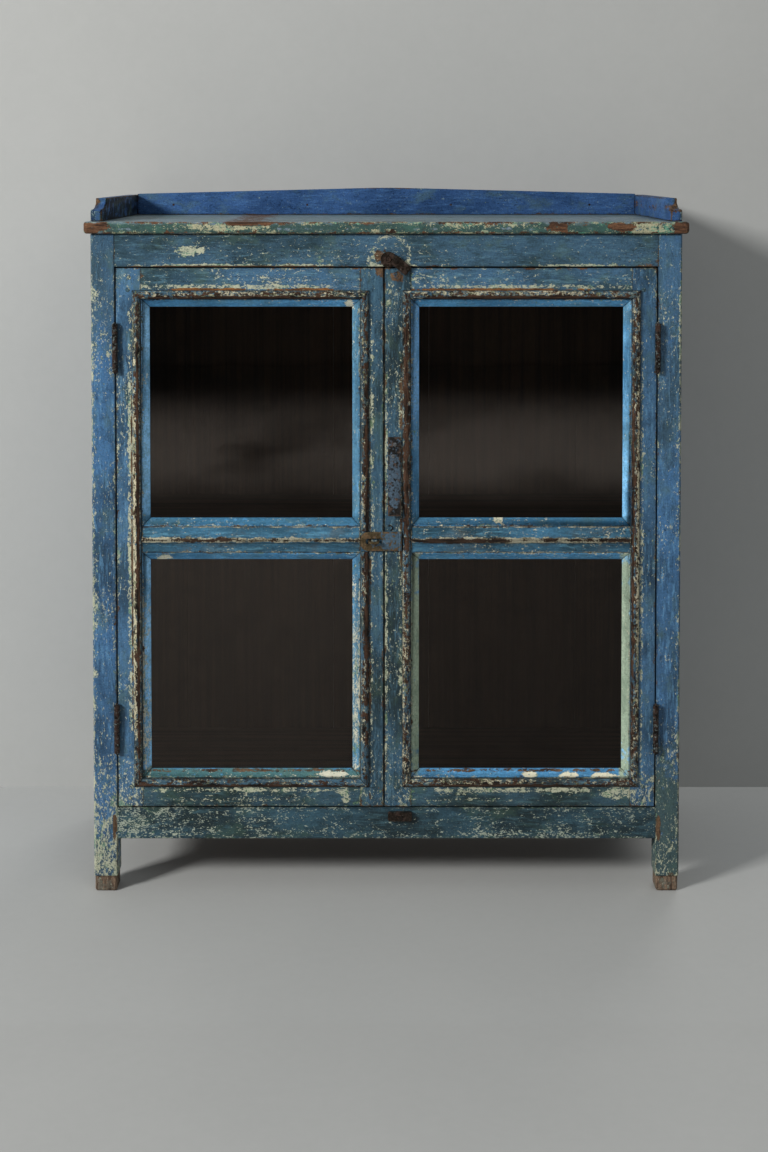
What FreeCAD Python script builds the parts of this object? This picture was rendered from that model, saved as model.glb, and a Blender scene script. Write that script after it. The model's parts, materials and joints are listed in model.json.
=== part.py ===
import FreeCAD, Part
import os
import re
import Sketcher

# Display cabinet: a painted softwood case on four square legs, with a low gallery on its top,
# two glazed doors on butt hinges, a hasp and staple, two turn buttons and a bent pull.
# Millimetres. +X is the cabinet's right as seen from the front, +Y its back, +Z up.
# The origin is the middle of the outline, on the floor.

SIZES = [
    ("case_width", 1045, "over the posts, side to side"),
    ("case_depth", 430, "over the posts, front to back"),
    ("post_size", 42, "square of a post"),
    ("post_arris", 3, "worn outer front edge of a front post"),
    ("foot_height", 28, "pieced foot under a post"),
    ("foot_inset", 1.5, "foot inside the post, on each face"),
    ("foot_bevel", 3, "worn edges of a foot"),
    ("leg_height", 96, "floor to the underside of the bottom rails"),
    ("bottom_rail_height", 56, "bottom rails"),
    ("opening_height", 967, "between the front rails"),
    ("top_rail_height", 58, "top rails"),
    ("side_rail_thickness", 20, "side rails"),
    ("side_rail_inset", 2, "side rail behind the post's outer face"),
    ("rear_rail_thickness", 20, "rear rails"),
    ("case_tenon", 24, "length of a rail's tenon in its post"),
    ("case_tenon_thickness", 8, "thickness of that tenon"),
    ("case_shoulder", 9, "shoulder above and below that tenon"),
    ("tenon_play", 0.2, "mortise wider than its tenon, on each side"),
    ("mortise_relief", 1, "mortise deeper than its tenon"),
    ("panel_thickness", 9, "side panels"),
    ("panel_groove", 8, "depth of the groove that holds a panel"),
    ("panel_play", 0.25, "groove wider than the panel, on each side"),
    ("panel_relief", 1, "panel short of the groove's bottom"),
    ("floor_thickness", 15, "floor board of the case"),
    ("floor_seat", 10, "rebate in the bottom rails under the floor"),
    ("board_play", 0.3, "boards clear of the rebates that seat them"),
    ("notch_play", 0.5, "boards clear of the posts and sides"),
    ("shelf_thickness", 18, "shelf"),
    ("shelf_rise", 479, "floor board to the shelf's top"),
    ("shelf_front_gap", 8, "shelf behind the doors"),
    ("shelf_back_gap", 1.5, "shelf in front of the back boards"),
    ("bearer_width", 15, "shelf bearer, out from the panel"),
    ("bearer_height", 20, "shelf bearer"),
    ("back_thickness", 12, "back boards"),
    ("back_gap", 0.8, "open joint between back boards"),
    ("back_first", 0.078, "first back board's share of the width between the posts"),
    ("back_second", 0.308, "second back board's share"),
    ("back_third", 0.201, "third back board's share"),
    ("back_fourth", 0.309, "fourth back board's share, the fifth fills the rest"),
    ("top_thickness", 22, "top board"),
    ("top_front_overhang", 10, "top board in front of the posts"),
    ("top_side_overhang", 11.5, "top board beyond the posts, each side"),
    ("top_back_overhang", 8, "top board behind the posts"),
    ("top_corner_round", 8, "front corners of the top board"),
    ("top_nose_round", 5, "edges of the top board"),
    ("gallery_thickness", 20, "gallery sides"),
    ("gallery_setback", 4, "gallery side behind the post fronts"),
    ("gallery_side_height", 40, "gallery sides"),
    ("gallery_nose_height", 21, "low front end of a gallery side"),
    ("gallery_nose_length", 18, "flat of that end"),
    ("gallery_nose_round", 5, "rounding of that end"),
    ("gallery_ramp_length", 36, "hollow between the low end and the shoulder"),
    ("gallery_step", 8, "upright face of the shoulder"),
    ("gallery_back_thickness", 18, "gallery back"),
    ("gallery_end_height", 42, "gallery back at its ends"),
    ("gallery_crest_height", 55, "gallery back at its middle"),
    ("gallery_crest_round", 70, "half width of its rounded crest"),
    ("stop_height", 20, "strip that stops the doors at the top"),
    ("stop_depth", 18, "that strip, front to back"),
    ("stop_cover", 12, "that strip below the top rail"),
    ("door_thickness", 22, "stiles and rails of the doors"),
    ("door_play", 0.5, "door clear of what lies behind it"),
    ("door_gap", 2.5, "door clear of the rail above and below"),
    ("hinge_gap", 2.5, "door clear of its post"),
    ("meeting_gap", 2, "between the two doors"),
    ("meeting_line", -4, "where the doors meet, from the middle"),
    ("meeting_round", 2.5, "front edges where the doors meet"),
    ("hinge_stile", 44, "stile on the hinge side"),
    ("left_meeting_stile", 41.5, "left door's stile at the meeting line"),
    ("right_meeting_stile", 47, "right door's stile at the meeting line"),
    ("door_top_rail", 55, "top rail of a door"),
    ("door_mid_rail", 46.5, "middle rail of a door"),
    ("door_bottom_rail", 51, "bottom rail of a door"),
    ("mid_rail_rise", 456, "door's lower edge to its middle rail"),
    ("door_tenon", 30, "length of a door rail's tenon"),
    ("door_tenon_thickness", 8, "thickness of that tenon"),
    ("door_tenon_setback", 4, "that tenon behind the door's face"),
    ("door_shoulder", 8, "shoulder above and below that tenon"),
    ("glass_thickness", 3, "panes"),
    ("glass_play", 0.3, "pane clear of the lip behind it"),
    ("glass_edge_gap", 1, "pane clear of the rebate round it"),
    ("lip_width", 9, "lip behind the pane"),
    ("bead_width", 14, "glazing bead, from the rebate inwards"),
    ("bead_setback", 2.5, "glazing bead behind the door's face"),
    ("bead_depth", 9.5, "glazing bead, front to back"),
    ("bead_flat", 2, "flat on top of the glazing bead"),
    ("bead_edge", 1.5, "glazing bead's edge on the glass"),
    ("moulding_width", 16, "moulding round the door's panes"),
    ("moulding_height", 6.5, "moulding in front of the door's face"),
    ("moulding_edge", 1.5, "upright edges of the moulding"),
    ("astragal_width", 14.3, "half round along the middle rail"),
    ("astragal_height", 5, "half round in front of the door's face"),
    ("hinge_height", 86, "butt hinge"),
    ("hinge_inset", 141, "middle of a hinge from the door's end"),
    ("barrel_radius", 5, "hinge barrel"),
    ("barrel_clearance", 0.3, "barrel in front of the wood"),
    ("hinge_pin_radius", 2.5, "hinge pin"),
    ("hinge_pin_tip", 3, "pin beyond the barrel at each end"),
    ("pin_tight", 0.05, "pin clear of the knuckles that hold it"),
    ("pin_running", 0.1, "pin clear of the knuckles that turn on it"),
    ("leaf_thickness", 2, "hinge leaf"),
    ("leaf_width", 20, "hinge leaf, back from the face"),
    ("leaf_play", 0.5, "between the two leaves"),
    ("knuckle_play", 0.4, "between two knuckles"),
    ("hasp_lift", 21, "middle rail's lower edge to the middle of the hasp"),
    ("hasp_height", 34, "hasp"),
    ("hasp_pin_offset", 27.5, "hasp pin from the right door's meeting edge"),
    ("hasp_pin_radius", 1.5, "hasp pin"),
    ("hasp_pin_standoff", 3.6, "hasp pin in front of the door's face"),
    ("hasp_knuckle_radius", 3, "hasp knuckles"),
    ("hasp_middle_knuckle", 11, "length of the strap's knuckle"),
    ("hasp_plate_thickness", 2, "fixed plate under the strap"),
    ("hasp_plate_width", 25, "fixed plate, from the pin to its edge"),
    ("hasp_reach", 70.3, "pin to the strap's end"),
    ("hasp_thickness", 2.5, "strap"),
    ("hasp_gap", 0.3, "strap in front of the fixed plate"),
    ("hasp_end_round", 13, "corners of the strap's end"),
    ("hasp_relief", 1.5, "moulding cut away above and below the strap"),
    ("slot_length", 29, "slot in the strap"),
    ("slot_height", 10, "slot in the strap"),
    ("slot_round", 4, "corners of that slot"),
    ("staple_reach", 46.7, "pin to the staple"),
    ("staple_bar", 4, "square of the staple's bar"),
    ("staple_width", 20, "over the staple's legs"),
    ("staple_bend", 7, "outer radius of the staple's bends"),
    ("staple_height", 17, "staple in front of the door's face"),
    ("staple_root", 14, "staple's legs in the wood"),
    ("staple_play", 0.1, "hole clear of a staple leg"),
    ("pull_offset", 5.8, "pull from the right door's meeting edge"),
    ("pull_rise", 523.5, "door's lower edge to the pull's lower end"),
    ("pull_width", 22.7, "pull"),
    ("pull_height", 139, "pull"),
    ("pull_thickness", 3, "pull"),
    ("pull_foot", 52, "part of the pull that lies on the door"),
    ("pull_lift", 12, "pull's lower end in front of the door"),
    ("pull_end", 16, "upright end of the pull"),
    ("button_gap", 0.5, "turn buttons in front of the rails"),
    ("button_offset", 7.7, "upper button's pivot from the meeting line"),
    ("button_rise", 12.7, "upper button's pivot above the opening"),
    ("eye_radius", 14, "round end of the upper button"),
    ("eye_thickness", 4, "round end of the upper button"),
    ("arm_turn", 40, "degrees that the upper button's arm points below level"),
    ("arm_width", 18, "arm of the upper button"),
    ("arm_start", 5.5, "pivot to the near end of the arm"),
    ("arm_length", 41, "pivot to the far end of the arm"),
    ("arm_offset", 6.5, "middle of the arm off the pivot"),
    ("arm_step", 3, "arm in front of the rail"),
    ("arm_thickness", 4.5, "arm of the upper button"),
    ("arm_bevel", 2, "bevel on the arm's far end"),
    ("block_offset", 28.2, "lower button's pivot from the meeting line"),
    ("block_drop", 13.9, "lower button's pivot below the opening"),
    ("block_length", 43, "lower button"),
    ("block_height", 16, "lower button"),
    ("block_thickness", 8, "lower button"),
    ("block_round", 2, "corners of the lower button"),
    ("pivot_radius", 2.5, "screw that a button turns on"),
    ("pivot_root", 10, "that screw in the rail"),
    ("pivot_head_radius", 4.5, "head of that screw"),
    ("pivot_head_height", 2, "head of that screw"),
    ("pivot_head_gap", 0.2, "head clear of the button"),
]
NAMES = {name for name, value, note in SIZES}
WORD = re.compile(r"[a-z][a-z_]*")

# Places that several pieces share, as formulas on the sizes
FRONT = "(staple_height - case_depth - top_back_overhang) / 2"
BACK = "(staple_height + case_depth - top_back_overhang) / 2"
INNER = "(case_width / 2 - post_size)"
FLOOR = "(leg_height + bottom_rail_height)"
OPENING_TOP = f"({FLOOR} + opening_height)"
CASE_TOP = f"({OPENING_TOP} + top_rail_height)"
TOP = f"({CASE_TOP} + top_thickness)"
FRONT_RAIL = "(door_thickness + door_play)"
BAY = "(case_depth - 2 * post_size)"
SIDE_RAIL_FACE = "(case_width / 2 - side_rail_inset - side_rail_thickness)"
PANEL_FACE = "(case_width / 2 - side_rail_inset - (side_rail_thickness + panel_thickness) / 2)"
REAR_RAIL = f"({BACK} - back_thickness - rear_rail_thickness)"
SHELF_TOP = f"({FLOOR} + shelf_rise)"
DOOR_BOTTOM = f"({FLOOR} + door_gap)"
DOOR_HEIGHT = "(opening_height - 2 * door_gap)"
REBATE = "(bead_setback + bead_depth + glass_thickness + glass_play)"
GLASS_FRONT = "(bead_setback + bead_depth)"
MID_TOP = "(mid_rail_rise + door_mid_rail)"
HASP_RISE = "(mid_rail_rise + hasp_lift)"
BARREL = "(barrel_radius + barrel_clearance)"
LEAF_RECESS = "(leaf_thickness + leaf_play / 2 - hinge_gap / 2)"
HINGE_RISES = ["hinge_inset", f"{DOOR_HEIGHT} - hinge_inset"]
HASP_FRONT = "(hasp_plate_thickness + hasp_gap)"
MITRE_OVERRUN = "1"

# How near two places are to count as one, in mm
NEAR = 0.001


class Hand:
    """One half of the cabinet: its name, and which way along X its pieces face the middle."""

    def __init__(self, name, inward, door_width, meeting_stile):
        self.name = name
        self.inward = inward
        self.hinge_edge = f"{-inward} * ({INNER} - hinge_gap)"
        self.axis = f"{-inward} * ({INNER} - hinge_gap / 2)"
        self.door_width = door_width
        self.meeting_stile = meeting_stile
        self.bay = f"({door_width} - hinge_stile - {meeting_stile})"

    def across(self, distance):
        """The distance, counted towards the middle of the cabinet."""
        return f"{self.inward} * ({distance})"


LEFT = Hand("left", 1, f"({INNER} - hinge_gap + meeting_line - meeting_gap / 2)", "left_meeting_stile")
RIGHT = Hand("right", -1, f"({INNER} - hinge_gap - meeting_line - meeting_gap / 2)", "right_meeting_stile")

doc = FreeCAD.newDocument("DisplayCabinet")
sheet = doc.addObject("Spreadsheet::Sheet", "Sizes")
nodes = []


def fill_sheet():
    """One row to each size: its name, its number under that alias, and what it measures."""
    for row, (name, number, note) in enumerate(SIZES, start=1):
        sheet.set(f"A{row}", name)
        sheet.set(f"B{row}", str(number))
        sheet.setAlias(f"B{row}", name)
        sheet.set(f"C{row}", note)
    doc.recompute()


def bound(formula):
    """The formula with each size's name read from the sheet."""
    return WORD.sub(lambda m: f"Sizes.{m.group()}" if m.group() in NAMES else m.group(), str(formula))


def number(formula):
    """What the formula comes to with the sheet as it is."""
    return float(sheet.evalExpression(bound(formula)))


def new_body(label, x="0", y="0", z="0", turn="0"):
    """An empty body at a place, turned about Y by a number of degrees."""
    body = doc.addObject("PartDesign::Body", label)
    body.Label = label
    body.Placement = FreeCAD.Placement(
        FreeCAD.Vector(number(x), number(y), number(z)),
        FreeCAD.Rotation(FreeCAD.Vector(0, 1, 0), number(turn)),
    )
    for axis, formula in (("x", x), ("y", y), ("z", z)):
        body.setExpression(f"Placement.Base.{axis}", bound(formula))
    return body


def plane_of(body, name):
    """One of the body's own origin planes."""
    return next(part for part in body.Origin.OriginFeatures if part.Role == f"{name}_Plane")


def draw_edge(sketch, start, end, arc):
    """A straight or round edge between two corners. Returns its number and which end comes first."""
    if not arc:
        return sketch.addGeometry(Part.LineSegment(start, end), False), 1, 2
    radius, turn = number(arc[0]), arc[1]
    chord = end.sub(start)
    half = chord.Length / 2
    normal = FreeCAD.Vector(-chord.y, chord.x, 0).normalize()
    rise = (radius ** 2 - half ** 2) ** 0.5
    centre = start.add(chord.multiply(0.5)).add(normal * (rise * turn))
    middle = centre.sub(normal * (radius * turn))
    index = sketch.addGeometry(Part.Arc(start, middle, end), False)
    forward = turn > 0
    return index, 1 if forward else 2, 2 if forward else 1


def draw_outline(sketch, corners):
    """A closed outline whose every corner is held to its two formulas.

    A corner is (x, y), or (x, y, radius, turn) where the edge to the next corner is round:
    turn is 1 where that arc runs anticlockwise and -1 where it runs clockwise.
    """
    points = [FreeCAD.Vector(number(c[0]), number(c[1]), 0) for c in corners]
    edges = [
        draw_edge(sketch, points[i], points[(i + 1) % len(points)], c[2:])
        for i, c in enumerate(corners)
    ]
    for i, (edge, first, last) in enumerate(edges):
        after, after_first, after_last = edges[(i + 1) % len(edges)]
        sketch.addConstraint(Sketcher.Constraint("Coincident", edge, last, after, after_first))
    for (edge, first, last), point, corner in zip(edges, points, corners):
        hold(sketch, Sketcher.Constraint("DistanceX", -1, 1, edge, first, point.x), corner[0])
        hold(sketch, Sketcher.Constraint("DistanceY", -1, 1, edge, first, point.y), corner[1])
        if corner[2:]:
            hold(sketch, Sketcher.Constraint("Radius", edge, number(corner[2])), corner[2])


def draw_circle(sketch, x, y, radius):
    """A circle whose middle and radius are held to their formulas."""
    middle = FreeCAD.Vector(number(x), number(y), 0)
    circle = sketch.addGeometry(Part.Circle(middle, FreeCAD.Vector(0, 0, 1), number(radius)), False)
    hold(sketch, Sketcher.Constraint("DistanceX", -1, 1, circle, 3, middle.x), x)
    hold(sketch, Sketcher.Constraint("DistanceY", -1, 1, circle, 3, middle.y), y)
    hold(sketch, Sketcher.Constraint("Radius", circle, number(radius)), radius)


def hold(sketch, constraint, formula):
    """The constraint, bound to its formula."""
    index = sketch.addConstraint(constraint)
    sketch.setExpression(f"Constraints[{index}]", bound(formula))


def new_sketch(body, plane, at, outlines):
    """Outlines on one of the body's planes, moved along that plane's axis to a coordinate."""
    sketch = body.newObject("Sketcher::SketchObject", f"{body.Name}_outline")
    sketch.AttachmentSupport = [(plane_of(body, plane), "")]
    sketch.MapMode = "FlatFace"
    away = f"-({at})" if plane == "XZ" else at
    sketch.AttachmentOffset = FreeCAD.Placement(FreeCAD.Vector(0, 0, number(away)), FreeCAD.Rotation())
    sketch.setExpression("AttachmentOffset.Base.z", bound(away))
    for outline in outlines:
        if isinstance(outline, tuple):
            draw_circle(sketch, *outline)
        else:
            draw_outline(sketch, outline)
    return sketch


def add_pad(body, plane, at, outlines, length, toward=1):
    """Material from a sketch, grown towards the plus or minus end of the plane's axis."""
    pad = body.newObject("PartDesign::Pad", f"{body.Name}_pad")
    sketch = new_sketch(body, plane, at, outlines)
    pad.Profile = sketch
    pad.Reversed = (toward > 0) == (plane == "XZ")
    pad.setExpression("Length", bound(length))
    body.Tip = pad
    doc.recompute()
    return pad


def add_pocket(body, plane, at, outlines, depth, toward=-1):
    """Material taken away from a sketch, towards the plus or minus end of the plane's axis."""
    before = body.Shape.Volume
    pocket = body.newObject("PartDesign::Pocket", f"{body.Name}_pocket")
    sketch = new_sketch(body, plane, at, outlines)
    pocket.Profile = sketch
    pocket.Reversed = (toward > 0) == (plane != "XZ")
    pocket.setExpression("Length", bound(depth))
    body.Tip = pocket
    doc.recompute()
    if body.Shape.Volume >= before:
        raise RuntimeError(f"{body.Label}: a pocket on {plane} took nothing away")
    return pocket


def ease_edges(body, kind, size, chosen):
    """The edges of the body so far that answer to chosen, rounded (Fillet) or cut (Chamfer)."""
    base = body.Tip
    names = [f"Edge{i}" for i, edge in enumerate(base.Shape.Edges, start=1) if chosen(edge)]
    if not names:
        raise RuntimeError(f"{body.Label}: no edge to ease")
    feature = body.newObject(f"PartDesign::{kind}", f"{body.Name}_{kind.lower()}")
    feature.Base = (base, names)
    feature.setExpression("Radius" if kind == "Fillet" else "Size", bound(size))
    body.Tip = feature
    doc.recompute()
    return feature


def runs_along(edge, axis):
    """Whether a straight edge runs along X, Y or Z."""
    box = edge.BoundBox
    spans = {"X": box.XLength, "Y": box.YLength, "Z": box.ZLength}
    return spans.pop(axis) > NEAR and all(span < NEAR for span in spans.values())


def lies_at(edge, x=None, y=None, z=None):
    """Whether the middle of an edge has these coordinates, where they are given as formulas."""
    middle = edge.BoundBox.Center
    wanted = ((middle.x, x), (middle.y, y), (middle.z, z))
    return all(formula is None or abs(value - number(formula)) < NEAR for value, formula in wanted)


def rectangle(left, right, low, high):
    """The four corners of a rectangle."""
    return [(left, low), (right, low), (right, high), (left, high)]


def group(label, members):
    """Several separate solids under one name."""
    compound = doc.addObject("Part::Compound", label)
    compound.Label = label
    compound.Links = members
    return compound


def keep(node):
    """The finished sub-part goes on the list of what is written."""
    nodes.append(node)
    return node


def make_post(end, hand):
    """A post: square, with mortises for its rails and a groove for its side panel."""
    front = end == "front"
    inward = 1 if front else -1
    middle = f"{FRONT} + post_size / 2" if front else f"{BACK} - post_size / 2"
    body = new_body(f"{end}_{hand.name}_post", x=hand.across("(post_size - case_width) / 2"), y=middle)
    half = "post_size / 2"
    square = rectangle(f"-{half}", half, f"-{half}", half)
    add_pad(body, "XY", "foot_height", [square], f"{CASE_TOP} - foot_height")
    if front:
        outer = hand.across(f"-{half}")
        ease_edges(body, "Chamfer", "post_arris",
                   lambda e: runs_along(e, "Z") and lies_at(e, x=outer, y=f"-{half}"))
    rail_y = f"{FRONT_RAIL} / 2 - {half}" if front else f"{half} - back_thickness - rear_rail_thickness / 2"
    tall = "(case_tenon_thickness / 2 + tenon_play)"
    slots = [
        rectangle(f"{rail_y} - {tall}", f"{rail_y} + {tall}", low, high)
        for low, high in tenon_heights()
    ]
    depth = "case_tenon + mortise_relief"
    add_pocket(body, "YZ", hand.across(half), slots, depth, toward=-hand.inward)
    side_x = hand.across(f"side_rail_inset + side_rail_thickness / 2 - {half}")
    slots = [
        rectangle(f"{side_x} - {tall}", f"{side_x} + {tall}", low, high)
        for low, high in tenon_heights()
    ]
    add_pocket(body, "XZ", f"{inward} * {half}", slots, depth, toward=-inward)
    wide = "(panel_thickness / 2 + panel_play)"
    groove = rectangle(f"{side_x} - {wide}", f"{side_x} + {wide}",
                       f"{FLOOR} - panel_groove", f"{OPENING_TOP} + panel_groove")
    add_pocket(body, "XZ", f"{inward} * {half}", [groove], "panel_groove", toward=-inward)
    if front:
        recesses = [
            rectangle(f"-{half}", f"leaf_width + board_play - {half}",
                      f"{DOOR_BOTTOM} + {rise} - hinge_height / 2 - tenon_play",
                      f"{DOOR_BOTTOM} + {rise} + hinge_height / 2 + tenon_play")
            for rise in HINGE_RISES
        ]
        add_pocket(body, "YZ", hand.across(half), recesses, LEAF_RECESS, toward=-hand.inward)
    return keep(body)


def tenon_heights():
    """Low and high edge of the mortise for the bottom rail, then for the top rail."""
    return [
        ("leg_height + case_shoulder - tenon_play", f"{FLOOR} - case_shoulder + tenon_play"),
        (f"{OPENING_TOP} + case_shoulder - tenon_play", f"{CASE_TOP} - case_shoulder + tenon_play"),
    ]


def make_foot(end, hand):
    """A short block pieced under a post, with its edges worn round."""
    middle = f"{FRONT} + post_size / 2" if end == "front" else f"{BACK} - post_size / 2"
    body = new_body(f"{end}_{hand.name}_foot", x=hand.across("(post_size - case_width) / 2"), y=middle)
    half = "(post_size / 2 - foot_inset)"
    add_pad(body, "XY", "0", [rectangle(f"-{half}", half, f"-{half}", half)], "foot_height")
    ease_edges(body, "Chamfer", "foot_bevel", lambda e: runs_along(e, "Z") or lies_at(e, z="0"))
    return keep(body)


def make_cross_rail(label, y, thickness, low, height, seat=None):
    """A front or rear rail: a tenon at each end, and a rebate where the floor board sits on it."""
    body = new_body(label, y=y, z=low)
    add_pad(body, "YZ", f"-{INNER}", [rectangle("0", thickness, "0", height)], f"2 * {INNER}")
    tenon = rectangle(f"({thickness} - case_tenon_thickness) / 2", f"({thickness} + case_tenon_thickness) / 2",
                      "case_shoulder", f"{height} - case_shoulder")
    add_pad(body, "YZ", f"-({INNER} + case_tenon)", [tenon], f"2 * ({INNER} + case_tenon)")
    if seat:
        rebate = rectangle(seat[0], seat[1], f"{height} - floor_thickness", height)
        add_pocket(body, "YZ", INNER, [rebate], f"2 * {INNER}", toward=-1)
    return keep(body)


def make_side_rail(label, hand, low, height, groove_top):
    """A side rail: a tenon at each end, and the groove that holds the panel."""
    body = new_body(label, x=hand.across(f"-{SIDE_RAIL_FACE}"), y=f"{FRONT} + post_size", z=low)
    out = hand.across("-side_rail_thickness")
    add_pad(body, "XZ", "0", [rectangle("0", out, "0", height)], BAY, toward=1)
    middle = hand.across("-side_rail_thickness / 2")
    tenon = rectangle(f"{middle} - case_tenon_thickness / 2", f"{middle} + case_tenon_thickness / 2",
                      "case_shoulder", f"{height} - case_shoulder")
    add_pad(body, "XZ", "-case_tenon", [tenon], f"{BAY} + 2 * case_tenon", toward=1)
    wide = "(panel_thickness / 2 + panel_play)"
    edge, bottom = (height, f"{height} - panel_groove") if groove_top else ("0", "panel_groove")
    groove = rectangle(f"{middle} - {wide}", f"{middle} + {wide}", edge, bottom)
    add_pocket(body, "XZ", "0", [groove], BAY, toward=1)
    return keep(body)


def make_side_panel(hand):
    """A thin board held in the grooves of two posts and two rails."""
    reach = "(panel_groove - panel_relief)"
    body = new_body(f"{hand.name}_side_panel", x=hand.across(f"-{PANEL_FACE}"),
                    y=f"{FRONT} + post_size - {reach}", z=f"{FLOOR} - {reach}")
    board = rectangle("0", f"{BAY} + 2 * {reach}", "0", f"opening_height + 2 * {reach}")
    add_pad(body, "YZ", "0", [board], "panel_thickness", toward=-hand.inward)
    return keep(body)


def notched_board(label, top, thickness, half_width, front, back):
    """A board across the case, cut away round the four posts."""
    body = new_body(label, z=f"{top} - {thickness}")
    side = f"({half_width} - notch_play)"
    neck = f"({INNER} - notch_play)"
    post_front = f"({FRONT} + post_size + notch_play)"
    post_back = f"({BACK} - post_size - notch_play)"
    quarter = [(neck, front), (neck, post_front), (side, post_front),
               (side, post_back), (neck, post_back), (neck, back)]
    other = [(f"-{x}", y) for x, y in reversed(quarter)]
    add_pad(body, "XY", "0", [quarter + other], thickness)
    return keep(body)


def make_bearers():
    """Two strips on the side panels that carry the shelf."""
    strips = []
    for hand in (LEFT, RIGHT):
        strip = new_body(f"{hand.name}_bearer", x=hand.across(f"-{PANEL_FACE}"), y=f"{FRONT} + post_size",
                         z=f"{SHELF_TOP} - shelf_thickness - bearer_height")
        section = rectangle("0", hand.across("bearer_width"), "0", "bearer_height")
        add_pad(strip, "XZ", "0", [section], BAY, toward=1)
        strips.append(strip)
    return keep(group("shelf_bearers", strips))


def make_back_boards():
    """Five upright boards of unlike widths, nailed over the rear rails with open joints."""
    widths = ["back_first", "back_second", "back_third", "back_fourth"]
    boards = []
    left = f"(notch_play - {INNER})"
    for width in widths + [None]:
        right = f"({left} + {width} * 2 * {INNER})" if width else f"({INNER} - notch_play)"
        board = new_body(f"back_board_{len(boards) + 1}", y=f"{BACK} - back_thickness", z="leg_height")
        add_pad(board, "XZ", "0", [rectangle(left, right, "0", f"{CASE_TOP} - leg_height")],
                "back_thickness", toward=1)
        boards.append(board)
        left = f"({right} + back_gap)"
    return keep(group("back_boards", boards))


def make_top_board():
    """The top, standing over the posts all round, with rounded corners and nosing."""
    body = new_body("top_board", z=CASE_TOP)
    half = "(case_width / 2 + top_side_overhang)"
    front = f"({FRONT} - top_front_overhang)"
    add_pad(body, "XY", "0", [rectangle(f"-{half}", half, front, f"{BACK} + top_back_overhang")], "top_thickness")
    ease_edges(body, "Fillet", "top_corner_round",
               lambda e: runs_along(e, "Z") and lies_at(e, y=front))
    rear = number(f"{BACK} + top_back_overhang")
    ease_edges(body, "Fillet", "top_nose_round",
               lambda e: e.BoundBox.ZLength < NEAR and e.BoundBox.YMin < rear - NEAR)
    return keep(body)


def make_gallery_side(hand):
    """A gallery side: a low rounded nose in front, a hollow, and a shoulder that runs to the back."""
    outer = hand.across("-case_width / 2")
    body = new_body(f"gallery_{hand.name}", x=outer, y=f"{FRONT} + gallery_setback", z=TOP)
    length = f"(case_depth + top_back_overhang - gallery_setback)"
    shoulder = "(gallery_nose_length + gallery_ramp_length)"
    ramp_rise = "(gallery_side_height - gallery_step - gallery_nose_height)"
    hollow = f"(gallery_ramp_length ^ 2 + {ramp_rise} ^ 2) / (2 * {ramp_rise}) * 1.001"
    outline = [
        ("0", "0"),
        (length, "0"),
        (length, "gallery_side_height"),
        (shoulder, "gallery_side_height"),
        (shoulder, f"gallery_side_height - gallery_step", hollow, -1),
        ("gallery_nose_length", "gallery_nose_height"),
        ("0", "gallery_nose_height"),
    ]
    add_pad(body, "YZ", "0", [outline], "gallery_thickness", toward=hand.inward)
    ease_edges(body, "Fillet", "gallery_nose_round",
               lambda e: runs_along(e, "X") and lies_at(e, y="0", z="gallery_nose_height"))
    return keep(body)


def make_gallery_back():
    """The gallery back, between the sides: two shallow slopes up to a rounded crest."""
    body = new_body("gallery_back", y=f"{BACK} + top_back_overhang - gallery_back_thickness", z=TOP)
    half = "(case_width / 2 - gallery_thickness)"
    slope = f"((gallery_crest_height - gallery_end_height) / {half})"
    shoulder = f"(gallery_crest_height - gallery_crest_round * {slope})"
    radius = f"(gallery_crest_round * sqrt(1 + {slope} ^ 2) / {slope})"
    outline = [
        (f"-{half}", "0"),
        (half, "0"),
        (half, "gallery_end_height"),
        ("gallery_crest_round", shoulder, radius, 1),
        ("-gallery_crest_round", shoulder),
        (f"-{half}", "gallery_end_height"),
    ]
    add_pad(body, "XZ", "0", [outline], "gallery_back_thickness", toward=1)
    return keep(body)


def make_door_stop():
    """A strip behind the top rail that both doors close against."""
    body = new_body("door_stop", y=f"{FRONT} + {FRONT_RAIL}", z=f"{OPENING_TOP} - stop_cover")
    half = f"({INNER} - notch_play)"
    add_pad(body, "XZ", "0", [rectangle(f"-{half}", half, "0", "stop_height")], "stop_depth", toward=1)
    return keep(body)


def make_case():
    """The case, from the floor up."""
    for end in ("front", "rear"):
        for hand in (LEFT, RIGHT):
            make_foot(end, hand)
            make_post(end, hand)
    seat = (f"{FRONT_RAIL} - floor_seat", FRONT_RAIL)
    make_cross_rail("front_bottom_rail", FRONT, FRONT_RAIL, "leg_height", "bottom_rail_height", seat)
    make_cross_rail("front_top_rail", FRONT, FRONT_RAIL, OPENING_TOP, "top_rail_height")
    seat = ("0", "floor_seat")
    make_cross_rail("rear_bottom_rail", REAR_RAIL, "rear_rail_thickness", "leg_height", "bottom_rail_height", seat)
    make_cross_rail("rear_top_rail", REAR_RAIL, "rear_rail_thickness", OPENING_TOP, "top_rail_height")
    for hand in (LEFT, RIGHT):
        make_side_rail(f"{hand.name}_bottom_rail", hand, "leg_height", "bottom_rail_height", True)
        make_side_rail(f"{hand.name}_top_rail", hand, OPENING_TOP, "top_rail_height", False)
        make_side_panel(hand)
    notched_board("floor_board", FLOOR, "floor_thickness", SIDE_RAIL_FACE,
                  f"({FRONT} + {FRONT_RAIL} - floor_seat + board_play)",
                  f"({REAR_RAIL} + floor_seat - board_play)")
    make_bearers()
    notched_board("shelf", SHELF_TOP, "shelf_thickness", PANEL_FACE,
                  f"({FRONT} + {FRONT_RAIL} + shelf_front_gap)",
                  f"({BACK} - back_thickness - shelf_back_gap)")
    make_back_boards()
    make_door_stop()
    make_top_board()
    make_gallery_side(LEFT)
    make_gallery_side(RIGHT)
    make_gallery_back()


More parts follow.
